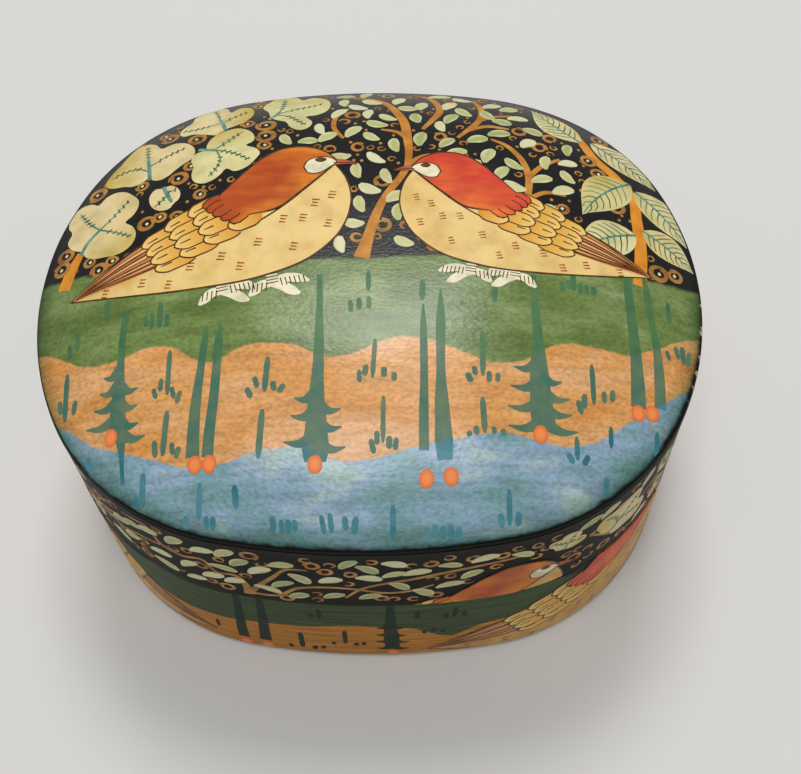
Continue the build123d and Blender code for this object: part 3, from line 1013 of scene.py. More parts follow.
def small_leaf(place, middle, angle, length, width):
    """A small leaf about its middle: half a width that swells with the root of a sine, rounder at the
    far end, and a slight curve."""
    share = np.linspace(0, 1, 7)
    swell = np.sin(np.pi * np.clip(0.06 + 0.9 * share, 0, 1) ** 1.25) ** 0.6
    way, leftward = toward(angle)
    bent = 0.12 * length * (4 * share * (1 - share) - 0.5)
    path = np.array(middle) + np.outer((share - 0.5) * length, way) + np.outer(bent, leftward)
    return stroke(place, np.column_stack([path, width * swell]), leaf_lift, any_tone(), length / 7, 3)


vine_leaves = [
    (-6.6, 58.4, 10), (-7.6, 47.4, 60), (-3.1, 50.8, 160), (4.3, 45.0, 140), (1.8, 42.0, 150),
    (11.2, 44.8, 100), (6.8, 54.6, 60), (12.5, 51.4, 80), (19.2, 52.0, 45), (19.4, 44.8, 60),
    (22.6, 48.6, 120), (22.4, 56.8, 160), (29.6, 53.4, 30), (33.7, 52.2, 15), (31.6, 44.6, -20),
    (12.2, 35.6, 70), (18.2, 34.2, 30), (25.4, 36.0, 20), (30.6, 39.0, 20), (6.2, 33.2, 110),
    (1.8, 28.6, 140), (20.2, 30.6, 10), (4.4, 22.6, 120), (13.2, 23.8, 60), (-1.4, 14.2, 100),
    (6.4, 16.2, 30), (38.8, 41.8, -30), (37.4, 36.2, 50), (41.2, 29.8, 70), (33.6, 28.0, 130),
    (39.8, 23.6, 30), (33.4, 20.6, 150), (44.6, 20.8, 10), (40.4, 14.2, 20), (32.8, 13.6, 130),
    (46.4, 30.6, 10), (35.6, 47.4, 0), (27.8, 30.2, 60), (9.2, 50.2, 170), (0.2, 54.0, 160),
    (-11.6, 40.2, 100), (-9.8, 36.6, 40), (-3.8, 38.6, 60), (16.8, 58.6, 20), (28.4, 47.8, 130),
    (-2.4, 24.4, 90), (0.6, 18.8, 150), (24.0, 26.4, 40), (30.6, 24.4, 60),
]
vine_films = []
for x, y, angle in vine_leaves:
    length = rng.uniform(4.5, 5.6)
    angle += rng.uniform(-12, 12)
    vine_films.append(small_leaf(on_crown, (x, y), angle, length, rng.uniform(2.5, 3.2)))
    taken.append((x, y, 2.3))


def clear_places(candidates, taken, reach):
    """Those of the candidate places that lie further than a reach from every disc taken, each given
    as its middle and its radius, and further than twice the reach from each other."""
    discs = np.array(taken)
    gaps = np.hypot(candidates[:, None, 0] - discs[:, 0], candidates[:, None, 1] - discs[:, 1]) - discs[:, 2]
    left, free = candidates[gaps.min(1) > reach], []
    while len(left):
        free.append(left[0])
        left = left[np.hypot(*(left - left[0]).T) > 2 * reach]
    return free


# Where the two birds will stand, as place, size, the way they face and tilt, and the discs that cover
# a bird in its own drawing
lid_birds = [((-28.4, 6.2), 0.98, 1, 7), ((29.6, 7.6), 0.86, -1, 4)]
bird_discs = [(-36, -5, 3), (-24, -1, 6), (-11, 2, 9), (2, 4, 13), (10, 8, 14), (12, 18, 9), (25, 18.6, 2.5)]


def bird_room(at, size, hand):
    """The discs that cover a bird where it stands, each as its middle and its radius."""
    return [(at[0] + hand * size * x, at[1] + size * y, size * reach) for x, y, reach in bird_discs]


# The room left over on the black is filled with further leaves, curls of two sizes and dots
leaf_room, curl_rooms, dot_room, grass_room = 2.1, (1.7, 1.15), 0.75, 2.2
further_leaves = 26
border_share = 0.955
for points in trunks:
    taken += [(x, y, 0.8) for x, y, _ in through(points)]
for outline, middle, *_ in chinar_leaves:
    for share, reach in ((0.0, 3.0), (0.35, 3.0), (0.7, 2.6), (0.92, 1.2)):
        taken += [(*(middle + share * np.subtract(point, middle)), reach) for point in outline]
for base, tip, *_ in pointed_leaves:
    taken += [(*(np.array(base) + share * np.subtract(tip, base)), 4.2) for share in (0.2, 0.4, 0.6, 0.8)]
for at, size, hand, _ in lid_birds:
    taken += bird_room(at, size, hand)
candidates = rng.uniform((-70, 2), (66, 61), (2600, 2))
above_grass = candidates[:, 1] > grass_top(candidates[:, 0]) + grass_room
candidates = candidates[above_grass & (share_at(*candidates.T) < border_share)]
right_of_chinar = candidates[candidates[:, 0] > -24]
for middle in clear_places(right_of_chinar, taken, leaf_room)[:further_leaves]:
    vine_films.append(small_leaf(on_crown, middle, rng.uniform(0, 180), 4.6, 2.6))
    taken.append((*middle, leaf_room))
for reach in curl_rooms:
    for middle in clear_places(candidates, taken, reach):
        hand, angle, turns = rng.choice([1, 1, -1]), rng.uniform(0, 360), rng.uniform(0.65, 1.05)
        stem_films.append(curl(on_crown, middle, angle, 0.78 * reach, hand, rng.uniform(0, 0.3), turns))
        taken.append((*middle, reach))
stem_films += [dot(on_crown, middle, 0.2) for middle in clear_places(candidates, taken, dot_room)]

painted("lid_stems", stem_films, stem_ochre, "lid")
painted("lid_vine_leaves", vine_films + eye_films, vine_cream, "lid")

# ------------------------------------------------------------------ trees, grass and fruit on the lid
# Firs, bare trunks and tufts of grass across the coloured fields, glazed in thin blue-green so that
# each field shows through, and round orange fruit in body colour at their feet.

tree_lift = 0.02
fruit_lift = 0.06
branch_rise = 1.7


def glaze_paint(name, coat, *colours):
    """Blue-green glaze, patchy where the brush lifted. The colour under it comes through, so it has a
    full and a thin colour over each of the three fields."""
    material, place = lacquered(name, coat)
    specks = brushed(material, place, 4, 1.1)
    patchy = add(material, "Math", {0: "tone", 1: 0.22, 2: specks}, operation="MULTIPLY_ADD")
    patchy = add(material, "MapRange", {"Value": patchy, "From Min": 0.42, "From Max": 0.82})
    full, thin = (tuple(zip((0.0, 0.5, 1.0), three)) for three in (colours[:3], colours[3:]))
    feed(material, "Base Color", two_tone(material, "field", full, thin, patchy))
    return material


tree_glaze = glaze_paint("tree_glaze", 0.25, "#3c6648", "#436c5c", "#2f6c76", "#527849", "#67785a", "#528892")


def over_field(films, lower_edge, upper_edge):
    """The films with one more number: 0 over the upper field, a half over the middle one and 1 over the
    lower one, from the two edges between them as functions of the place along."""
    for points, _, numbers in films:
        x, y, height = np.moveaxis(points, -1, 0)
        along, up = (x, y) if upper_edge is clay_top else (length_towards(x, y), height)
        numbers["field"] = 0.5 * (up < upper_edge(along)) + 0.5 * (up < lower_edge(along))
    return films


def fir(place, trunk, left_tips, right_tips):
    """A fir: its trunk as one stroke of changing width, and to each tip a branch that leaves the trunk
    a little higher, sags, and turns up again at its tip."""
    films = [stroke(place, trunk, tree_lift, any_tone(), 1.2, 3)]
    trunk = np.array(trunk, float)
    order = np.argsort(trunk[:, 1])
    for tips in (left_tips, right_tips):
        for tip in np.array(tips, float):
            root_height = tip[1] + branch_rise
            root = np.array([np.interp(root_height, trunk[order, 1], trunk[order, 0]), root_height])
            sag = root * 0.36 + tip * 0.64 - [0, 0.5]
            end = tip + 0.12 * (tip - root) * [1, 0] + [0, 0.55]
            branch = [(*root, 3.0), (*sag, 1.5), (*end, 0.3)]
            films.append(stroke(place, branch, tree_lift + 0.003, any_tone(), 0.7, 3))
    return films


firs = [  # trunk with its widths, tips to the left, tips to the right
    [[(-52.3, -10.3, 1.4), (-52.5, -16.6, 1.6), (-52.4, -23.6, 1.9), (-52.4, -27.2, 2.6), (-52.3, -30.6, 3.1),
      (-52.3, -34, 3.6), (-51.9, -37, 3.6), (-51.4, -38.9, 2.6), (-51, -43, 1.2), (-50.6, -48, 0.9)],
     [(-55.7, -26), (-56.4, -29.4), (-57.4, -32.8), (-58.8, -36.4)],
     [(-48.5, -29.6), (-48.3, -33.2), (-47.9, -37), (-46.4, -39.8)]],
    [[(-9.8, -5, 1.2), (-9.5, -14.3, 1.5), (-9.4, -20.6, 2.0), (-9.4, -26.1, 2.3), (-9.6, -32.6, 3.1),
      (-9.6, -36.8, 3.9), (-9.6, -40.8, 4.7), (-9.7, -44.6, 5.5), (-9.7, -46.8, 4.4)],
     [(-13.8, -34.6), (-14.4, -38.2), (-15.6, -43.4)],
     [(-5.1, -37), (-4.9, -40.6), (-4.2, -44.6)]],
    [[(36.4, -4.4, 1.2), (36.5, -13.4, 1.8), (36.7, -19.6, 2.2), (36.7, -22.8, 2.8), (36.6, -26, 3.7),
      (36.7, -29.9, 4.2), (36.8, -33.7, 4.7), (37.1, -37.4, 5.1), (37.4, -39.8, 4.8)],
     [(31.9, -27.3), (31.2, -31.5), (30.5, -35.8), (30.6, -39.8)],
     [(40.9, -29.9), (42.3, -33.4), (42.6, -36.6), (43.7, -39.9)]],
]
lid_trees = [drawn for tree in firs for drawn in fir(on_crown, *tree)]
bare_trunks = [
    [(-33.7, -19, 1.2), (-34.3, -27, 1.7), (-34.9, -33.5, 2.2), (-35.2, -39.6, 2.6), (-35.3, -44.8, 3.0)],
    [(-30.7, -19, 1.4), (-30.9, -27.4, 1.9), (-31.2, -33.8, 2.1), (-31.8, -39.9, 2.3), (-32.1, -45, 2.5)],
    [(12.5, -17, 1.2), (12.6, -31, 1.7), (12.5, -36.9, 2.0), (12.5, -44.6, 2.1)],
    [(16.2, -14, 1.6), (16.1, -30.1, 2.1), (16.2, -34.8, 2.9), (16.4, -39.2, 3.3), (16.6, -43.1, 3.7),
     (16.8, -46.4, 3.0)],
    [(57.5, -2.3, 1.5), (57.8, -12.4, 2.2), (58.1, -20.4, 2.6), (58.1, -26.7, 3.1), (58, -32.2, 3.5)],
    [(61.7, -1.7, 1.2), (62.5, -11.3, 1.5), (63.2, -19.2, 2.0), (63.2, -25.5, 2.5), (63, -31.4, 2.7)],
]
for trunk in bare_trunks:
    faded = (1.3 * trunk[0][0] - 0.3 * trunk[1][0], 1.3 * trunk[0][1] - 0.3 * trunk[1][1], 0.4)
    lid_trees.append(stroke(on_crown, [faded] + trunk, tree_lift, any_tone(), 1.2, 3))

# Blades of grass, tuft by tuft, as the upper and the lower end of each
blades = [
    ((-41.3, -21.7), (-41.3, -31.5)), ((-42.8, -27.8), (-42.9, -30.6)), ((-44.5, -29.8), (-43.7, -32)),
    ((-40.5, -29.9), (-39.7, -32.5)), ((-38.4, -31), (-39.2, -33.6)), ((-41.1, -34.9), (-41.8, -43.9)),
    ((-43.7, -40.6), (-43.4, -44)), ((-39.9, -41.4), (-39.6, -43.8)), ((-38.2, -42.4), (-39, -44.6)),
    ((-65.3, -22.3), (-65.1, -32.9)), ((-62.7, -28.8), (-63, -31.8)), ((-66.8, -28), (-66.2, -31)),
    ((-20, -24.9), (-20.5, -32.5)), ((-22.7, -29.2), (-22, -31.6)), ((-24.3, -31.5), (-23.2, -33.7)),
    ((-18.9, -30.3), (-18.4, -32.4)), ((-16.4, -31), (-17.6, -32.8)), ((-20.8, -36.1), (-21.5, -45.8)),
    ((2.4, -21.2), (1.9, -30)), ((0.6, -27.1), (0.2, -29.5)), ((-0.9, -28.2), (-0.7, -30.9)),
    ((4.3, -27.6), (4.3, -29.8)), ((6.4, -28.7), (6.4, -30.6)), ((4.2, -33.8), (4.1, -43.2)),
    ((2.9, -40.9), (2.9, -43.6)), ((1.6, -42.5), (2.3, -45.3)), ((5.4, -41.9), (5.4, -44.4)),
    ((6.9, -42.3), (6.6, -44.6)), ((25, -19), (24.8, -29.2)), ((21.5, -28.7), (22.4, -30.6)),
    ((23, -27.1), (23.3, -29.1)), ((26.1, -28.1), (26.1, -30.5)), ((28, -28.4), (27.8, -30.4)),
    ((24.6, -33.7), (25, -41)), ((23.2, -39.6), (23.3, -41.4)), ((26.8, -39.7), (27, -41.1)),
    ((28.7, -40), (28.9, -41.6)), ((21.5, -40.8), (22.1, -41.7)), ((48, -24.6), (48.1, -33.2)),
    ((46.2, -31.2), (45.9, -34.4)), ((44.6, -32.8), (45.4, -35.6)), ((50.4, -30.1), (50.4, -32.6)),
    ((52.4, -29.5), (52.1, -32.1)), ((67.7, -16), (68.2, -18.9)), ((69.3, -15.6), (69.4, -19.8)),
    ((71.1, -16.4), (70.3, -19.9)), ((65.4, -17.6), (66, -19.8)), ((51.6, -37.2), (51.5, -41.5)),
    ((44.1, -40.2), (44.2, -44.8)), ((42.1, -43.7), (43.4, -45.5)), ((46.6, -43.6), (45.5, -45.6)),
    ((45.2, -1.2), (45.1, -7.4)), ((42.6, -5.4), (42.7, -7.9)), ((44, -4.8), (44.1, -7.2)),
    ((46.7, -5.2), (46.6, -7.9)), ((48, -5.4), (48, -7.8)), ((49.6, -5.7), (49.6, -7.8)),
    ((-44.5, -9.7), (-44.2, -15.9)), ((-47.7, -12.4), (-47.2, -15.2)), ((-46.2, -12.1), (-45.9, -15.9)),
    ((-42.7, -12.7), (-42.5, -15.9)), ((27.8, -4.9), (27.8, -11.6)), ((0.7, -4.2), (0.8, -9.4)),
    ((-3.1, -11.7), (-2.8, -14.7)), ((-1.2, -11.2), (-1.1, -14.2)), ((0.9, -10.9), (1, -13.9)),
    ((-63.7, -12.4), (-63.4, -17.3)), ((-65.6, -15.6), (-65, -18.8)), ((-33.6, -49.6), (-34, -56.3)),
    ((-32.4, -55.6), (-32.3, -57.8)), ((-31, -55.8), (-31, -58.2)), ((-36.8, -55.3), (-36.6, -57.5)),
    ((-26.4, -50.5), (-26, -54.7)), ((-18.6, -56.2), (-18.4, -59)), ((-16.8, -56.9), (-16.5, -59.2)),
    ((-15.4, -56.9), (-15.2, -59.4)), ((-14.1, -57), (-13.9, -59)), ((-8.6, -56.3), (-7.9, -59.5)),
    ((-6.8, -56), (-6.4, -59.3)), ((-3.8, -56.6), (-3.5, -59)), ((-1.4, -56.6), (-1.9, -59.6)),
    ((6.1, -54.6), (6.1, -60.7)), ((12.8, -58.4), (13.5, -60.4)), ((14.6, -57.9), (14.8, -60.2)),
    ((16.3, -58.1), (16.3, -60.3)), ((17.8, -58), (17.9, -60.3)), ((19.5, -58.2), (19.5, -60.4)),
    ((50.4, -47.2), (50.1, -50)), ((-46, -46.6), (-46.2, -52.6)), ((-47.8, -50.8), (-47.4, -53)),
    ((29.8, -51.4), (29.9, -57.6)), ((28, -55.6), (28.4, -58)), ((31.8, -55.2), (31.6, -57.6)),
    ((-58.8, -41.6), (-58.4, -45.4)), ((62, -36.4), (61.6, -41.6)), ((-24.6, -4.8), (-24.6, -9.6)),
    ((12.4, -6.6), (12.3, -11.8)), ((-57.2, -6.6), (-57, -11)), ((66.8, -5.4), (66.8, -10.6)),
]


def blade(place, start, end):
    """A blade of grass: one touch of the brush from start to end, with blunt ends, 1 mm wide."""
    start, end = np.array(start, float), np.array(end, float)
    share = np.array([0, 0.12, 0.5, 0.88, 1.0])[:, None]
    width = rng.uniform(0.95, 1.3) * np.array([0.55, 0.95, 1.0, 0.95, 0.5])[:, None]
    return stroke(place, np.hstack([start + (end - start) * share, width]), tree_lift, any_tone())


lid_trees += [blade(on_crown, *ends) for ends in blades]
over_field(lid_trees, water_top, clay_top)
painted("lid_trees", lid_trees, tree_glaze, "lid")


def graded(name, number, *stops):
    """A paint whose colour runs through stops with a number kept at the points."""
    material, _ = lacquered(name)
    feed(material, "Base Color", add(material, "ValToRGB", {"Fac": number}, stops=stops))
    return material


# Red lead and yellow in body colour: a disc of orange, redder round its rim
fruit_orange = graded("fruit_orange", "out", (0.45, "#f08c4e"), (1.0, "#de6a34"))
FRUIT_WIDTH, FRUIT_HEIGHT = 3.1, 3.6


def fruit(place, middle):
    """A round fruit, a little taller than wide, whose outline wavers by a twentieth."""
    around = np.linspace(0, 2 * np.pi, 10, endpoint=False)
    waver = 1 + rng.uniform(-0.05, 0.05, len(around))
    outline = np.column_stack([FRUIT_WIDTH / 2 * np.cos(around), FRUIT_HEIGHT / 2 * np.sin(around)])
    return patch(place, np.array(middle) + outline * waver[:, None], fruit_lift, any_tone(), middle, 0.7)


fruit_places = [(-53.6, -38.6), (-34.8, -46.2), (-31.7, -46.3), (-9.8, -47.2), (13, -49.9), (18, -49.4),
                (36.5, -40.6), (57.8, -33.4), (61.0, -32.8)]
lid_fruit = [fruit(on_crown, middle) for middle in fruit_places]
painted("lid_fruit", lid_fruit, fruit_orange, "lid")

# ------------------------------------------------------------------ birds on the lid
# A pair of songbirds that face each other: cream belly and back, ochre wing feathers, a striped
# tail, and a hood that is russet on one bird and red on the other, all outlined in brown.

# Cream body colour, rubbed smooth, a little browner where it is thin; on the side it is more ochre, as
# painted shade
bird_cream, place = lacquered("bird_cream")
cloud = add(bird_cream, "TexNoise", {"Vector": place, "Scale": METRE / 11, "Detail": 2.0})
# The ochre ramp is the side birds' body colour, darkened as painted shade
warm, ochre = ((0.35, "#e9cb86"), (0.65, "#e3c077")), ((0.35, "#d3a252"), (0.65, "#bd8338"))
warm = two_tone(bird_cream, cloud, warm, ochre, "tone")
specks = brushed(bird_cream, place, 6, 1.0)
feed(bird_cream, "Base Color", shaded(bird_cream, warm, specks, (0.3, "#ece4d6"), (0.55, "#ffffff")))

# Yellow ochre wash over the cream, deeper towards each feather's root
wing_ochre = graded("wing_ochre", "along", (0.0, "#d08c30"), (0.5, "#e0ab4c"), (1.0, "#ecc878"))

# Rose-brown wash in stripes of 1.5 mm across the tail, between the outer feathers
tail_rose, _ = lacquered("tail_rose")
across = add(tail_rose, "Math", {0: "across", 1: 14.0}, operation="MULTIPLY")
stripe = add(tail_rose, "Math", {0: across}, operation="SINE")
stripe = add(tail_rose, "MapRange", {"Value": stripe, "From Min": -0.6, "From Max": 0.6})
feed(tail_rose, "Base Color", add(tail_rose, "Mix", {0: stripe, 6: "#e6bd7e", 7: "#bb6f42"}, **mixed))


def hood_paint(name, dark, main, glow):
    """A hood's paint: fine hair strokes in the dark colour over a wash that goes in clouds from the main
    colour to a lighter one.
    """
    material, place = lacquered(name)
    hairs = brushed(material, place, (6, 2.2, 6), 0.8)
    hairs = add(material, "MapRange", {"Value": hairs, "From Min": 0.3, "From Max": 0.7, "To Max": 0.55})
    cloud = add(material, "TexNoise", {"Vector": place, "Scale": METRE / 10, "Detail": 1.0})
    wash = add(material, "ValToRGB", {"Fac": cloud}, stops=((0.4, main), (0.66, glow)))
    feed(material, "Base Color", add(material, "Mix", {0: hairs, 6: wash, 7: dark}, **mixed))
    return material


# Burnt sienna for one hood and vermilion for the other, hatched over with a nearly dry brush
hood_russet = hood_paint("hood_russet", "#8c3012", "#bd5420", "#e0842a")
hood_red = hood_paint("hood_red", "#a52c24", "#da4b32", "#ee7a36")

# Bone brown line colour, drawn with a brush of a few hairs, and white body colour for feet and cheek
line_brown = specked("line_brown", 3, 0.8, (0.35, "#2e1c0c"), (0.7, "#69431c"))
foot_white = specked("foot_white", 3, 0.9, (0.3, "#c8c3a0"), (0.6, "#ebe3c2"))

# Red-brown for the small strokes on the belly, and rose for the beak
line_rust = graded("line_rust", "tone", (0.0, "#8a4318"), (1.0, "#b5682c"))
beak_rose = graded("beak_rose", "along", (0.0, "#c4654c"), (1.0, "#8f4038"))

# A bird in its own drawing, in millimetres, facing right
belly_line = [(-36, -6), (-25, -9.6), (-10, -12.4), (4, -12.2), (14, -8.8), (21, -1.6), (23.6, 7), (22.8, 14),
              (21, 18.4)]
side_line = [(-36, -6), (-24, -5.2), (-10, -2.4), (2, 2), (11, 8), (17, 14), (21, 18.4)]
back_line = [(-36, -6), (-26, 0.4), (-16, 5.4), (-7, 10.6), (-1, 14.4), (4, 18)]
back_foot = [(-36, -6), (-24, -5.4), (-10, -2.8), (2, 1.4), (10, 7)]
tail_upper = [(-36.4, -6.4), (-27, -0.4), (-19, 3.6), (-10, 8.4)]
tail_lower = [(-36.4, -6.4), (-27, -6.1), (-17, -4.4), (-8, -1.8)]
hood_top = [(-3.6, 12.6), (1.4, 18.2), (5.4, 22.4), (10.2, 25.4), (15.2, 25.4), (19.4, 22.8), (21.6, 19.4)]
hood_hem = [(-3.6, 12.6), (-1.6, 8.6), (2.6, 5.6), (8.4, 6.4), (13.2, 10.2), (17.4, 14.2), (21.4, 18.4)]
cheek = [(14.6, 18.2), (15.6, 20.2), (18, 21), (20.6, 20.2), (21.6, 18.9), (19.8, 17), (17.4, 15.6),
         (15.4, 16)]
eye = [(17, 20.2), (17.8, 20.8), (19, 20.6), (19.6, 19.9), (18.8, 19.2), (17.6, 19.3)]
wing_root = np.array([4.5, 8.2])
wing_angle = 200
wing_rows = [  # how far behind the root, length, width, and places across the wing
    (15.4, 9.6, 4.0, (-3.6, 5.8, -0.4, 2.8)), (10.2, 9.0, 4.2, (-5.2, 5.0, -1.8, 1.7)),
    (5.0, 8.6, 4.4, (-6.0, 4.2, -2.6, 0.9)), (0.4, 7.4, 4.4, (-4.4, 3.2, -0.8)),
]
hem_tufts = [  # place and angle
    (-2.8, 12.8, 216), (2.6, 7.0, 216), (-1.9, 11.2, 214), (1.0, 8.0, 212), (-0.6, 9.6, 212),
]
tuft_length, tuft_width = 5.0, 2.7
dashes = [(-20, -7.6), (-10, -6.2), (0, -8.6), (4, -2.6), (11, -5.2), (13.4, 2.6), (18.4, 0.2), (19.8, 8.4),
          (-3.6, -5.0), (-28, -7.4), (9.4, 3.0), (16.2, 6.6), (-14.6, -9.8)]
toes = [(7.4, -0.4, 1.1), (5.4, -3.4, 0.2), (-4.6, -2.4, 0.9)]  # reach, drop and bend of each

# Its coats from the bottom up, in millimetres over the ground; feathers rise by a step from each to the
# next, so that each covers the root of the last
leg_lift, back_lift, body_lift, tail_lift, line_lift, wing_lift = 0.03, 0.043, 0.05, 0.056, 0.058, 0.068
feather_step = 0.006
hood_lift = 0.19


def bird(place, at, size, hand, tilt, stretch=1.0, feet=True, shade=0.0):
    """Every film of one bird, by paint: its drawing stretched lengthwise, scaled, turned by a tilt in
    degrees, mirrored where hand is -1, and moved to a place. Shade is how ochre its body is, as
    painted shade for the birds on the side."""
    films = {label: [] for label in ("cream", "ochre", "tail", "hood", "brown", "rust", "rose", "white")}

    def put(points):
        points = np.array(points, float)
        flat = points[..., :2] * [stretch, 1] * size @ toward(tilt) * [hand, 1] + at
        return np.concatenate([flat, points[..., 2:] * size], -1)

    def line(label, points, widths, lift, tone=None, spacing=1.0, columns=2):
        """A brush line whose width changes evenly between the widths given."""
        widths = np.interp(np.linspace(0, 1, len(points)), np.linspace(0, 1, len(widths)), widths)
        tone = any_tone() if tone is None else tone
        points = put(np.column_stack([points, widths]))
        films[label].append(stroke(place, points, lift, tone, spacing, columns))

    def feather(label, x, y, angle, length, width, lift):
        """A rounded touch of the brush from a root, outlined round its free end."""
        share = np.linspace(0, 1, 9)
        way, leftward = toward(angle)
        half = width / 2 * np.sqrt(np.clip(np.minimum(share / 0.3, (1 - share) / 0.24), 0.02, 1))
        path = np.array([x, y]) + np.outer(share * length, way)
        aside = half[:, None] * leftward
        line(label, path, 2 * half, lift, spacing=size * length / 9, columns=4)
        rim = np.vstack([(path + aside)[1:], path[-1] + 0.1 * way, (path - aside)[:0:-1]])
        line("brown", rim, (0.34, 0.4, 0.34), lift + 0.003)
        return path

    # Legs and toes first, so that the belly lies over them
    for x in (-4.0, 6.0) if feet else ():
        line("white", [(x, -10), (x + 0.3, -14.8)], (2.6, 2.4), leg_lift, 0.5, columns=3)
        for number, (reach, drop, bend) in enumerate(toes):
            path = [(x, -14.4), (x + 0.4 * reach, -14.4 + 0.4 * drop + bend),
                    (x + 0.8 * reach, -14.4 + 0.9 * drop + 0.5 * bend), (x + reach, -14.6 + drop)]
            line("white", path, (1.9, 2.3, 2.0, 0.6), leg_lift + 0.003 * (number + 1), 0.5, 0.7, 3)
        hatches = [(x - 1.0, -10.8 - step, x + 1.4, -10.6 - step) for step in np.arange(0.4, 4.4, 0.8)]
        hatches += [(x + step, -13.3, x + step + 0.3, -15.4) for step in np.arange(1.8, 6.6, 0.9)]
        hatches += [(x - step, -14.0, x - step - 0.3, -16.2) for step in np.arange(0.9, 3.9, 0.9)]
        for hatch in hatches:
            line("brown", np.reshape(hatch, (2, 2)), (0.3, 0.24), leg_lift + 0.015, spacing=1.5)

    # Back, belly and their outlines, with small strokes by threes on the belly
    films["cream"].append(between(place, put(back_line), put(back_foot), back_lift, 0.5 * shade, 30, 12))
    films["cream"].append(between(place, put(side_line), put(belly_line), body_lift, shade, 44, 18))
    for points in (belly_line, side_line, back_line):
        line("brown", points, (0.3, 0.5, 0.5, 0.4, 0.3), line_lift, spacing=1.2)
    for x, y in dashes:
        for step in (-1, 0, 1):
            ends = np.array([[-0.5, 0.2], [0.5, -0.2]]) * [rng.uniform(1.1, 1.6), 1]
            line("rust", ends + [x + 0.25 * step, y + 0.85 * step], (0.5, 0.3), line_lift, spacing=0.8)

    # Tail, with quills that spread from its tip
    films["tail"].append(between(place, put(tail_upper), put(tail_lower), tail_lift, 0.5, 24, 10))
    for number, share in enumerate(np.linspace(0.06, 0.94, 8)):
        start = np.array([-34.6 + 0.8 * share, -5.7])
        end = np.array([-12, 7.2]) * (1 - share) + np.array([-10, -2.4]) * share
        bulge = (start + end) / 2 + np.array([-0.6, 0.9]) * (1 - 2 * share)
        label = "rust" if number % 3 == 1 else "brown"
        line(label, [start, bulge, end], (0.3, 0.45, 0.35), wing_lift - 0.004)

    # Wing feathers in rows from the tail forwards, each with a short shaft line
    lift = wing_lift
    way, leftward = toward(wing_angle)
    for behind, length, width, places in wing_rows:
        for across in places:
            x, y = wing_root + behind * way + across * leftward
            path = feather("ochre", x, y, wing_angle - 0.9 * across, length, width, lift)
            line("brown", path[[5, 7]] + [0.1, 0.25], (0.45, 0.25), lift + 0.003)
            lift += feather_step

    # Hood over a hem of tufts, then cheek, eye and beak
    for x, y, angle in hem_tufts:
        feather("hood", x, y, angle, tuft_length, tuft_width, lift)
        lift += feather_step
    films["hood"].append(between(place, put(hood_top), put(hood_hem), hood_lift, 0.5, 30, 12))
    for points in (hood_hem[2:], hood_top):
        line("brown", points, (0.3, 0.5, 0.5, 0.35), hood_lift + 0.005)
    line("rose", [(20.6, 18.9), (22.6, 18.6), (25.6, 17.4)], (2.3, 1.7, 0.4), hood_lift + 0.004, 0.5, 0.7, 3)
    line("brown", [(20.8, 18.5), (23, 18.2), (25.5, 17.4)], (0.25, 0.3, 0.25), hood_lift + 0.009)
    films["white"].append(patch(place, put(cheek), hood_lift + 0.008, 0.5, spacing=0.9))
    line("brown", cheek + cheek[:1], (0.35, 0.35), hood_lift + 0.011)
    films["brown"].append(patch(place, put(eye), hood_lift + 0.014, 0.0, spacing=0.5))
    return films


bird_paints = {
    "cream": (bird_cream, "bird_paint"),
    "ochre": (wing_ochre, "bird_paint"),
    "tail": (tail_rose, "bird_paint"),
    "brown": (line_brown, "line_paint"),
    "rust": (line_rust, "line_paint"),
    "rose": (beak_rose, "line_paint"),
    "white": (foot_white, "bird_paint"),
}


def paint_birds(prefix, birds, body, keep=None):
    """Pieces for the paints of several birds, each given as its films and its hood's paint."""
    for label, (material, slot) in bird_paints.items():
        films = [drawn for own, _ in birds for drawn in own[label]]
        painted(f"{prefix}_birds_{label}", films, material, body, keep)
    for hood in dict.fromkeys(own_hood for _, own_hood in birds):
        films = [drawn for own, own_hood in birds for drawn in own["hood"] if own_hood == hood]
        painted(f"{prefix}_{hood.name}", films, hood, body, keep)


drawn = [bird(on_crown, *placed, 1.12) for placed in lid_birds]
paint_birds("lid", list(zip(drawn, (hood_russet, hood_red))), "lid")

# ------------------------------------------------------------------ painting round the side
# The side was painted with the lid on: large birds at the ends and the back, trees and grass between
# them on the base, leaves and vine on the black of the lid. The lid now sits half a turn round, so
# the birds' heads no longer meet their bodies across the parting.

parting_gap = 0.2
base_keep = (base_height - parting_gap, -1)
lid_keep = (base_height + parting_gap, 1)
half_turn = girth / 2


def on_turned_lid(place, lift):
    """Points of the side half a turn further round."""
    return on_side(place + [half_turn, 0], lift)


side_birds = [
    ((56.5, 16.8), 1.235, 1, 5, hood_red),
    ((-83.4, 19.0), 1.235, -1, 5, hood_russet),
    ((21.3 - half_turn, 27.5), 1.0, 1, 0, hood_russet),
    ((147.0, 19.0), 1.2, -1, 4, hood_red),
]
sides = (("base", on_side, "base", base_keep), ("lid_side", on_turned_lid, "lid", lid_keep))
# On the side the birds' bodies are turned ochre by shade=0.7, as painted shade
for name, place, body, keep in sides:
    drawn = [(bird(place, *placed, feet=False, shade=0.7), hood) for *placed, hood in side_birds]
    paint_birds(name, drawn, body, keep)

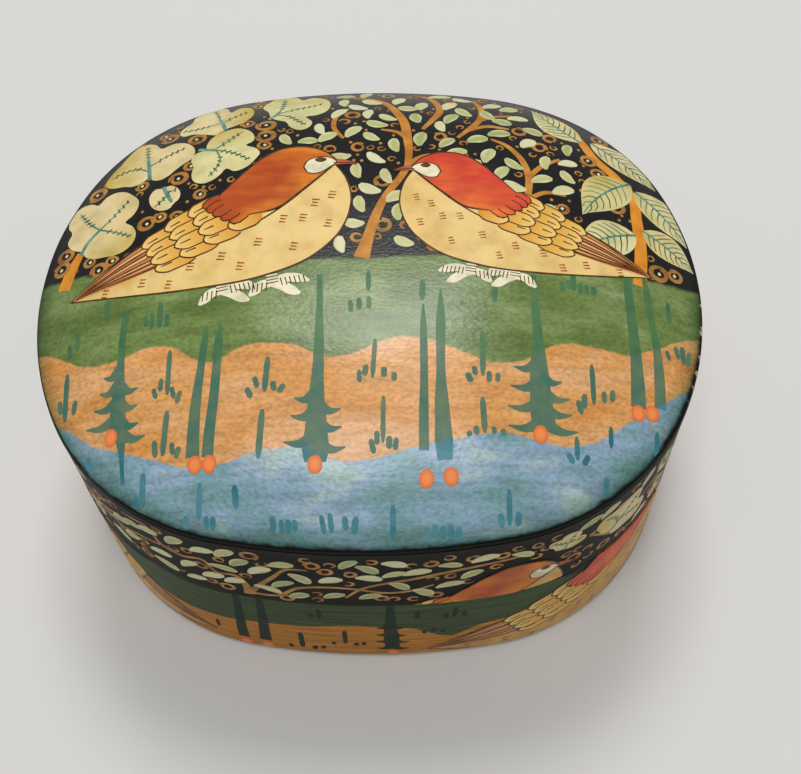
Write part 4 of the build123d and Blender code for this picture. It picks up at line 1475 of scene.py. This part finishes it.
# Trees and grass on the base
side_fir_left = [(1.3, 21.7), (1.1, 16.7), (0.8, 12.0), (1.0, 7.0)]
side_fir_right = [(7.2, 21.3), (7.6, 16.2), (8.3, 11.4), (8.0, 6.6)]
side_fir_trunk = [(4.6, 36.6, 2.0), (4.5, 30, 2.2), (4.3, 24, 2.8), (4.3, 18, 3.4), (4.4, 12, 3.8),
                  (4.4, 7.4, 3.4)]
side_trunks = [[(-31, 36.6, 1.6), (-31.6, 24, 2.2), (-32.3, 15, 2.6), (-32.5, 7.6, 2.8)],
               [(-25.5, 36.6, 1.7), (-26, 24, 2.3), (-26.6, 15, 2.7), (-27, 7.6, 3.0)]]
side_blades = [((-17.7, 16.4), (-17.9, 5.7)), ((-6.8, 20), (-7, 10.4)), ((-21, 7.6), (-20.6, 5.2)),
               ((-14.6, 7.4), (-15, 4.8)), ((-12.6, 8), (-12.7, 5.6)), ((-10, 11.4), (-9.8, 9.2)),
               ((-4.2, 11.2), (-4.5, 9)), ((-2.4, 12), (-2.6, 9.6)), ((14.6, 20.5), (14.4, 17.6)),
               ((12.2, 19), (12.4, 17)), ((16.8, 19), (16.6, 16.6)), ((19.6, 33), (19.4, 27)),
               ((17.4, 29.6), (17.5, 27)), ((21.8, 29.4), (21.6, 26.8)), ((-12, 34), (-12.2, 28)),
               ((-14.2, 31), (-14, 28.4)), ((-38.6, 15.4), (-38.8, 10.6)), ((10.8, 32.6), (10.7, 27.6))]
side_fruit = [(-32.2, 4.4), (-26.8, 4.4), (4.6, 4.2)]
side_trees, side_fruit_films = [], []


def moved(points, shift):
    """The points moved sideways."""
    return [(point[0] + shift, *point[1:]) for point in points]


# The front has all of this; the fir stands on the other sides too, with the grass and the fruit near it
fir_room = 14
for shift in (0.0, 104.0, 252.0, -156.0):
    near = shift == 0
    left, right, trunk = (moved(points, shift) for points in (side_fir_left, side_fir_right, side_fir_trunk))
    side_trees += fir(on_side, trunk, left, right)
    if near:
        for points in side_trunks:
            side_trees.append(stroke(on_side, points, tree_lift, any_tone(), 1.4, 3))
    for points in side_blades:
        if near or abs(points[0][0] - side_fir_trunk[-1][0]) < fir_room:
            side_trees.append(blade(on_side, *moved(points, shift)))
    for middle in side_fruit:
        if near or middle[0] > 0:
            side_fruit_films.append(fruit(on_side, *moved([middle], shift)))
over_field(side_trees, lambda length: -1.0 + 0 * length, base_hills)
# The same blue-green glaze as on the lid, made much darker as painted shade on the upright side
shaded_side_glaze = glaze_paint("shaded_side_glaze", 0.06, "#13291f", "#172c21", "#172c21", "#22382a", "#383a22", "#383a22")
painted("base_trees", side_trees, shaded_side_glaze, "base", base_keep)
painted("base_fruit", side_fruit_films, fruit_orange, "base")

# Vine, leaves and scrolls on the lid's side
side_vine = [
    (-57.0, 55.4), (-55.1, 49.2), (-48.4, 60.0), (-41.6, 61.0), (-47.1, 49.6), (-46.8, 43.5), (-40.0, 49.7),
    (-35.3, 60.5), (-39.3, 42.5), (-31.5, 53.0), (-23.3, 54.5), (-29.8, 46.1), (-18.1, 59.0), (-22.3, 44.2),
    (-14.6, 52.4), (-15.6, 41.8), (-7.9, 52.3), (-7.7, 43.2), (-3.7, 61.6), (0.5, 53.9), (0.3, 43.0),
    (6.1, 61.4), (6.9, 49.1), (10.8, 56.3), (12.1, 44.5), (18.0, 47.7), (18.0, 58.7), (22.7, 52.3),
    (25.4, 60.1), (33.7, 58.6),
]
side_stems = [
    [(-54.9, 62.0, 0.7), (-48, 62.6, 1.0), (-45.4, 55.4, 1.1), (-41, 53.8, 1.2), (-36, 55.4, 1.0),
     (-33, 49.4, 0.9), (-29.6, 49.8, 1.4), (-27.4, 45, 2.0), (-27.3, 39.4, 2.6)],
    [(-27.2, 40, 2.2), (-24, 46, 1.8), (-20.6, 51.6, 1.3), (-16.6, 57.2, 1.0), (-12.4, 57.4, 0.7)],
    [(-26.6, 40.4, 1.4), (-21, 40.6, 1.3), (-15, 46.9, 1.3), (-10, 48.2, 1.2), (-3.9, 47.9, 1.1),
     (4.8, 45.1, 1.1), (9.6, 45.9, 1.0), (14.4, 48.6, 0.7)],
    [(-5.1, 42.4, 0.8), (-1.2, 47.9, 1.1), (5, 51.3, 1.3), (9.6, 52.6, 1.3), (14, 54.1, 1.4),
     (19.6, 55.6, 1.4), (24.6, 56.6, 1.2), (31, 57.6, 1.0), (36.6, 58.6, 0.7)],
    [(-46, 55, 0.9), (-52, 53.6, 1.1), (-58, 51, 1.1), (-66, 53.6, 1.1), (-75, 50, 0.8)],
]
# Past them, at arc lengths from low to high, a stem in waves with a shoot at each bend
wave_middle, wave_height, shoot_top = 50.5, 4.2, 58.5
for low, high in ((50, 78), (178, 244), (-76, -56)):
    count = max(4, int((high - low) / 9))
    along = np.linspace(low, high, count)
    rise = wave_middle + wave_height * np.cos(np.arange(count) * np.pi)
    side_stems.append(np.column_stack([along, rise, np.full(count, 1.2)]))
    for x, y in zip(along[:-1], rise[:-1]):
        bend = (x + 3.4, y + 0.35 * (wave_middle - y) + 3, 1.0)
        side_stems.append([(x, y, 1.1), bend, (x + 6, shoot_top, 0.7)])
side_scrolls = [
    ((-23.5, 60.6), 20, 2.0, 1), ((-13.2, 60.4), 90, 1.8, -1), ((-10.4, 57.6), 250, 1.7, 1),
    ((13.6, 62.2), 20, 1.6, -1), ((22.8, 62.6), 10, 1.5, -1), ((29.4, 61.8), 0, 1.6, -1),
    ((3.4, 40.4), 10, 1.6, 1), ((-19.1, 41.6), 30, 1.7, -1), ((-33.8, 42.0), 90, 1.8, -1),
    ((-36.4, 53.2), 160, 1.7, 1), ((14.2, 41.0), 160, 1.6, -1), ((-61.6, 58.4), 40, 1.8, 1),
    ((-52.8, 44.8), 190, 1.7, 1), ((-4.6, 57.2), 60, 1.5, -1), ((47.6, 44.2), 20, 2.0, 1),
    ((52.6, 58.6), 60, 2.0, -1), ((56.6, 41.4), 30, 1.9, 1), ((68.8, 50.6), 80, 2.0, -1),
    ((60.2, 59.4), 100, 1.8, 1),
]
side_leaves = [  # which of the lid's chinar leaves, its place, size and turn
    (0, (44.6, 57.0), 0.42, 20), (1, (59.6, 52.0), 0.8, -50), (4, (74.0, 46.8), 0.44, 190),
    (2, (73.8, 58.6), 0.44, 40), (3, (88.4, 52.6), 0.74, -20), (0, (102.2, 57.6), 0.44, 110),
    (2, (-68.0, 47.0), 0.42, 200), (0, (-116.4, 51.4), 0.7, -40), (3, (-128.6, 58.8), 0.42, 30),
    (1, (-141.4, 50.2), 0.62, 160), (4, (179.4, 50.6), 0.66, 20), (0, (166.4, 57.6), 0.42, 70),
    (2, (-204.6, 50.8), 0.6, -30),
]
drawn = [chinar_leaf(on_side, chinar_leaves[number], *placed) for number, *placed in side_leaves]
painted("lid_side_leaves", [leaf for leaf, _ in drawn], leaf_cream, "lid")
painted("lid_side_veins", [vein for _, veins in drawn for vein in veins], vein_green, "lid")

# The room left over is filled as on the lid; leaves keep further from the parting and the crown
leaf_reach, leaf_room, curl_room = 10.5, 2.35, 1.5
room_low, room_high, leaf_low, leaf_high = 40.4, 63.2, 42.0, 62.0
taken = [(*at, leaf_reach * size) for _, at, size, _ in side_leaves]
thinner = [1, 1, 0.85]
stem_films = [stroke(on_side, np.array(points) * thinner, stem_lift, 0.1, 1.3, 3) for points in side_stems]
for start, angle, size, hand in side_scrolls:
    drawn, middle = scroll(on_side, start, angle, size, hand, 0.95)
    stem_films.append(drawn)
    taken.append((*middle, size))
taken += [(*place, 2.4) for place in side_vine]
for points in side_stems:
    taken += [(x, y, 0.5) for x, y, _ in through(points)]
for (x, y), size, hand, *_ in side_birds:
    for turn in (-girth - half_turn, -half_turn, girth - half_turn):
        taken += bird_room((x + turn, y), size, hand)
candidates = rng.uniform((-half_turn, room_low), (half_turn, room_high), (6000, 2))
inner = (candidates[:, 1] > leaf_low) & (candidates[:, 1] < leaf_high)
side_vine += clear_places(candidates[inner], taken, leaf_room)
taken += [(*place, 2.0) for place in side_vine]
vine_films = []
for middle in side_vine:
    angle = rng.choice([1, 1, -1]) * rng.uniform(12, 52)
    vine_films.append(small_leaf(on_side, middle, angle, rng.uniform(5.2, 6.6), rng.uniform(2.6, 3.4)))
for middle in clear_places(candidates, taken, curl_room):
    hand, angle, turns = rng.choice([1, -1]), rng.uniform(0, 360), rng.uniform(0.6, 1.05)
    stem_films.append(curl(on_side, middle, angle, 1.3, hand, rng.uniform(0, 0.3), turns))
painted("lid_side_stems", stem_films, stem_ochre, "lid", lid_keep)
painted("lid_side_vine_leaves", vine_films, vine_cream, "lid")

# ------------------------------------------------------------------ table, lights and camera
# A plain pale table and soft light from above and behind, as in a studio. None of it is part of
# the box.

table_paint = bpy.data.materials.new("table_paint")
table_paint.use_nodes = True
shader = table_paint.node_tree.nodes["Principled BSDF"]
shader.inputs["Roughness"].default_value = 0.8
shader.inputs["Base Color"].default_value = linear("#d9d8d5")
TABLE = 2.5
mesh = bpy.data.meshes.new("table")
corners = [(-TABLE, -TABLE, 0), (TABLE, -TABLE, 0), (TABLE, TABLE, 0), (-TABLE, TABLE, 0)]
mesh.from_pydata(corners, [], [(0, 1, 2, 3)])
mesh.materials.append(table_paint)
table = bpy.data.objects.new("table", mesh)
bpy.context.scene.collection.objects.link(table)

world = bpy.data.worlds.new("room")
world.use_nodes = True
world.node_tree.nodes["Background"].inputs["Color"].default_value = linear("#f4f6f8")
world.node_tree.nodes["Background"].inputs["Strength"].default_value = 0.34
bpy.context.scene.world = world
bpy.context.scene.view_settings.view_transform = "Standard"


def soft_light(name, azimuth, elevation, distance, size, power):
    """A square soft box of a size in metres, at a distance in metres in the direction of an azimuth,
    0 from the front and 90 from the right, and an elevation. It faces the box."""
    across = np.cos(np.radians(elevation))
    turned, raised = np.radians(azimuth), np.radians(elevation)
    way = Vector((np.sin(turned) * across, -np.cos(turned) * across, np.sin(raised)))
    lamp = bpy.data.lights.new(name, "AREA")
    lamp.shape = "SQUARE"
    lamp.size = size
    lamp.energy = power
    lamp_object = bpy.data.objects.new(name, lamp)
    facing = way.to_track_quat("Z", "Y").to_matrix().to_4x4()
    lamp_object.matrix_world = Matrix.Translation(way * distance) @ facing
    bpy.context.scene.collection.objects.link(lamp_object)


soft_light("window_light", 178, 67, 1.4, 0.42, 8)
soft_light("ceiling_light", -8, 75, 1.4, 0.5, 6.6)

focal_pixels = 1250.0
image_width = 801
sensor_width = 36.0
camera_azimuth, camera_elevation, camera_roll = np.radians([2.234, 59.92, -2.292])
look_at = np.array([5.85, 15.81, 0.0])
camera_distance = 353.25
across = np.cos(camera_elevation)
back = np.array([np.sin(camera_azimuth) * across, -np.cos(camera_azimuth) * across, np.sin(camera_elevation)])
right = np.array([np.cos(camera_azimuth), np.sin(camera_azimuth), 0.0])
up = np.cross(back, right)
tilted_right = right * np.cos(camera_roll) + up * np.sin(camera_roll)
tilted_up = up * np.cos(camera_roll) - right * np.sin(camera_roll)
stand = (look_at + back * camera_distance) / METRE
placed = np.eye(4)
placed[:3] = np.column_stack([tilted_right, tilted_up, back, stand])
camera_data = bpy.data.cameras.new("camera")
camera_data.sensor_width = sensor_width
camera_data.lens = focal_pixels / image_width * sensor_width
camera = bpy.data.objects.new("camera", camera_data)
camera.matrix_world = Matrix(placed.tolist())
bpy.context.scene.collection.objects.link(camera)
bpy.context.scene.camera = camera
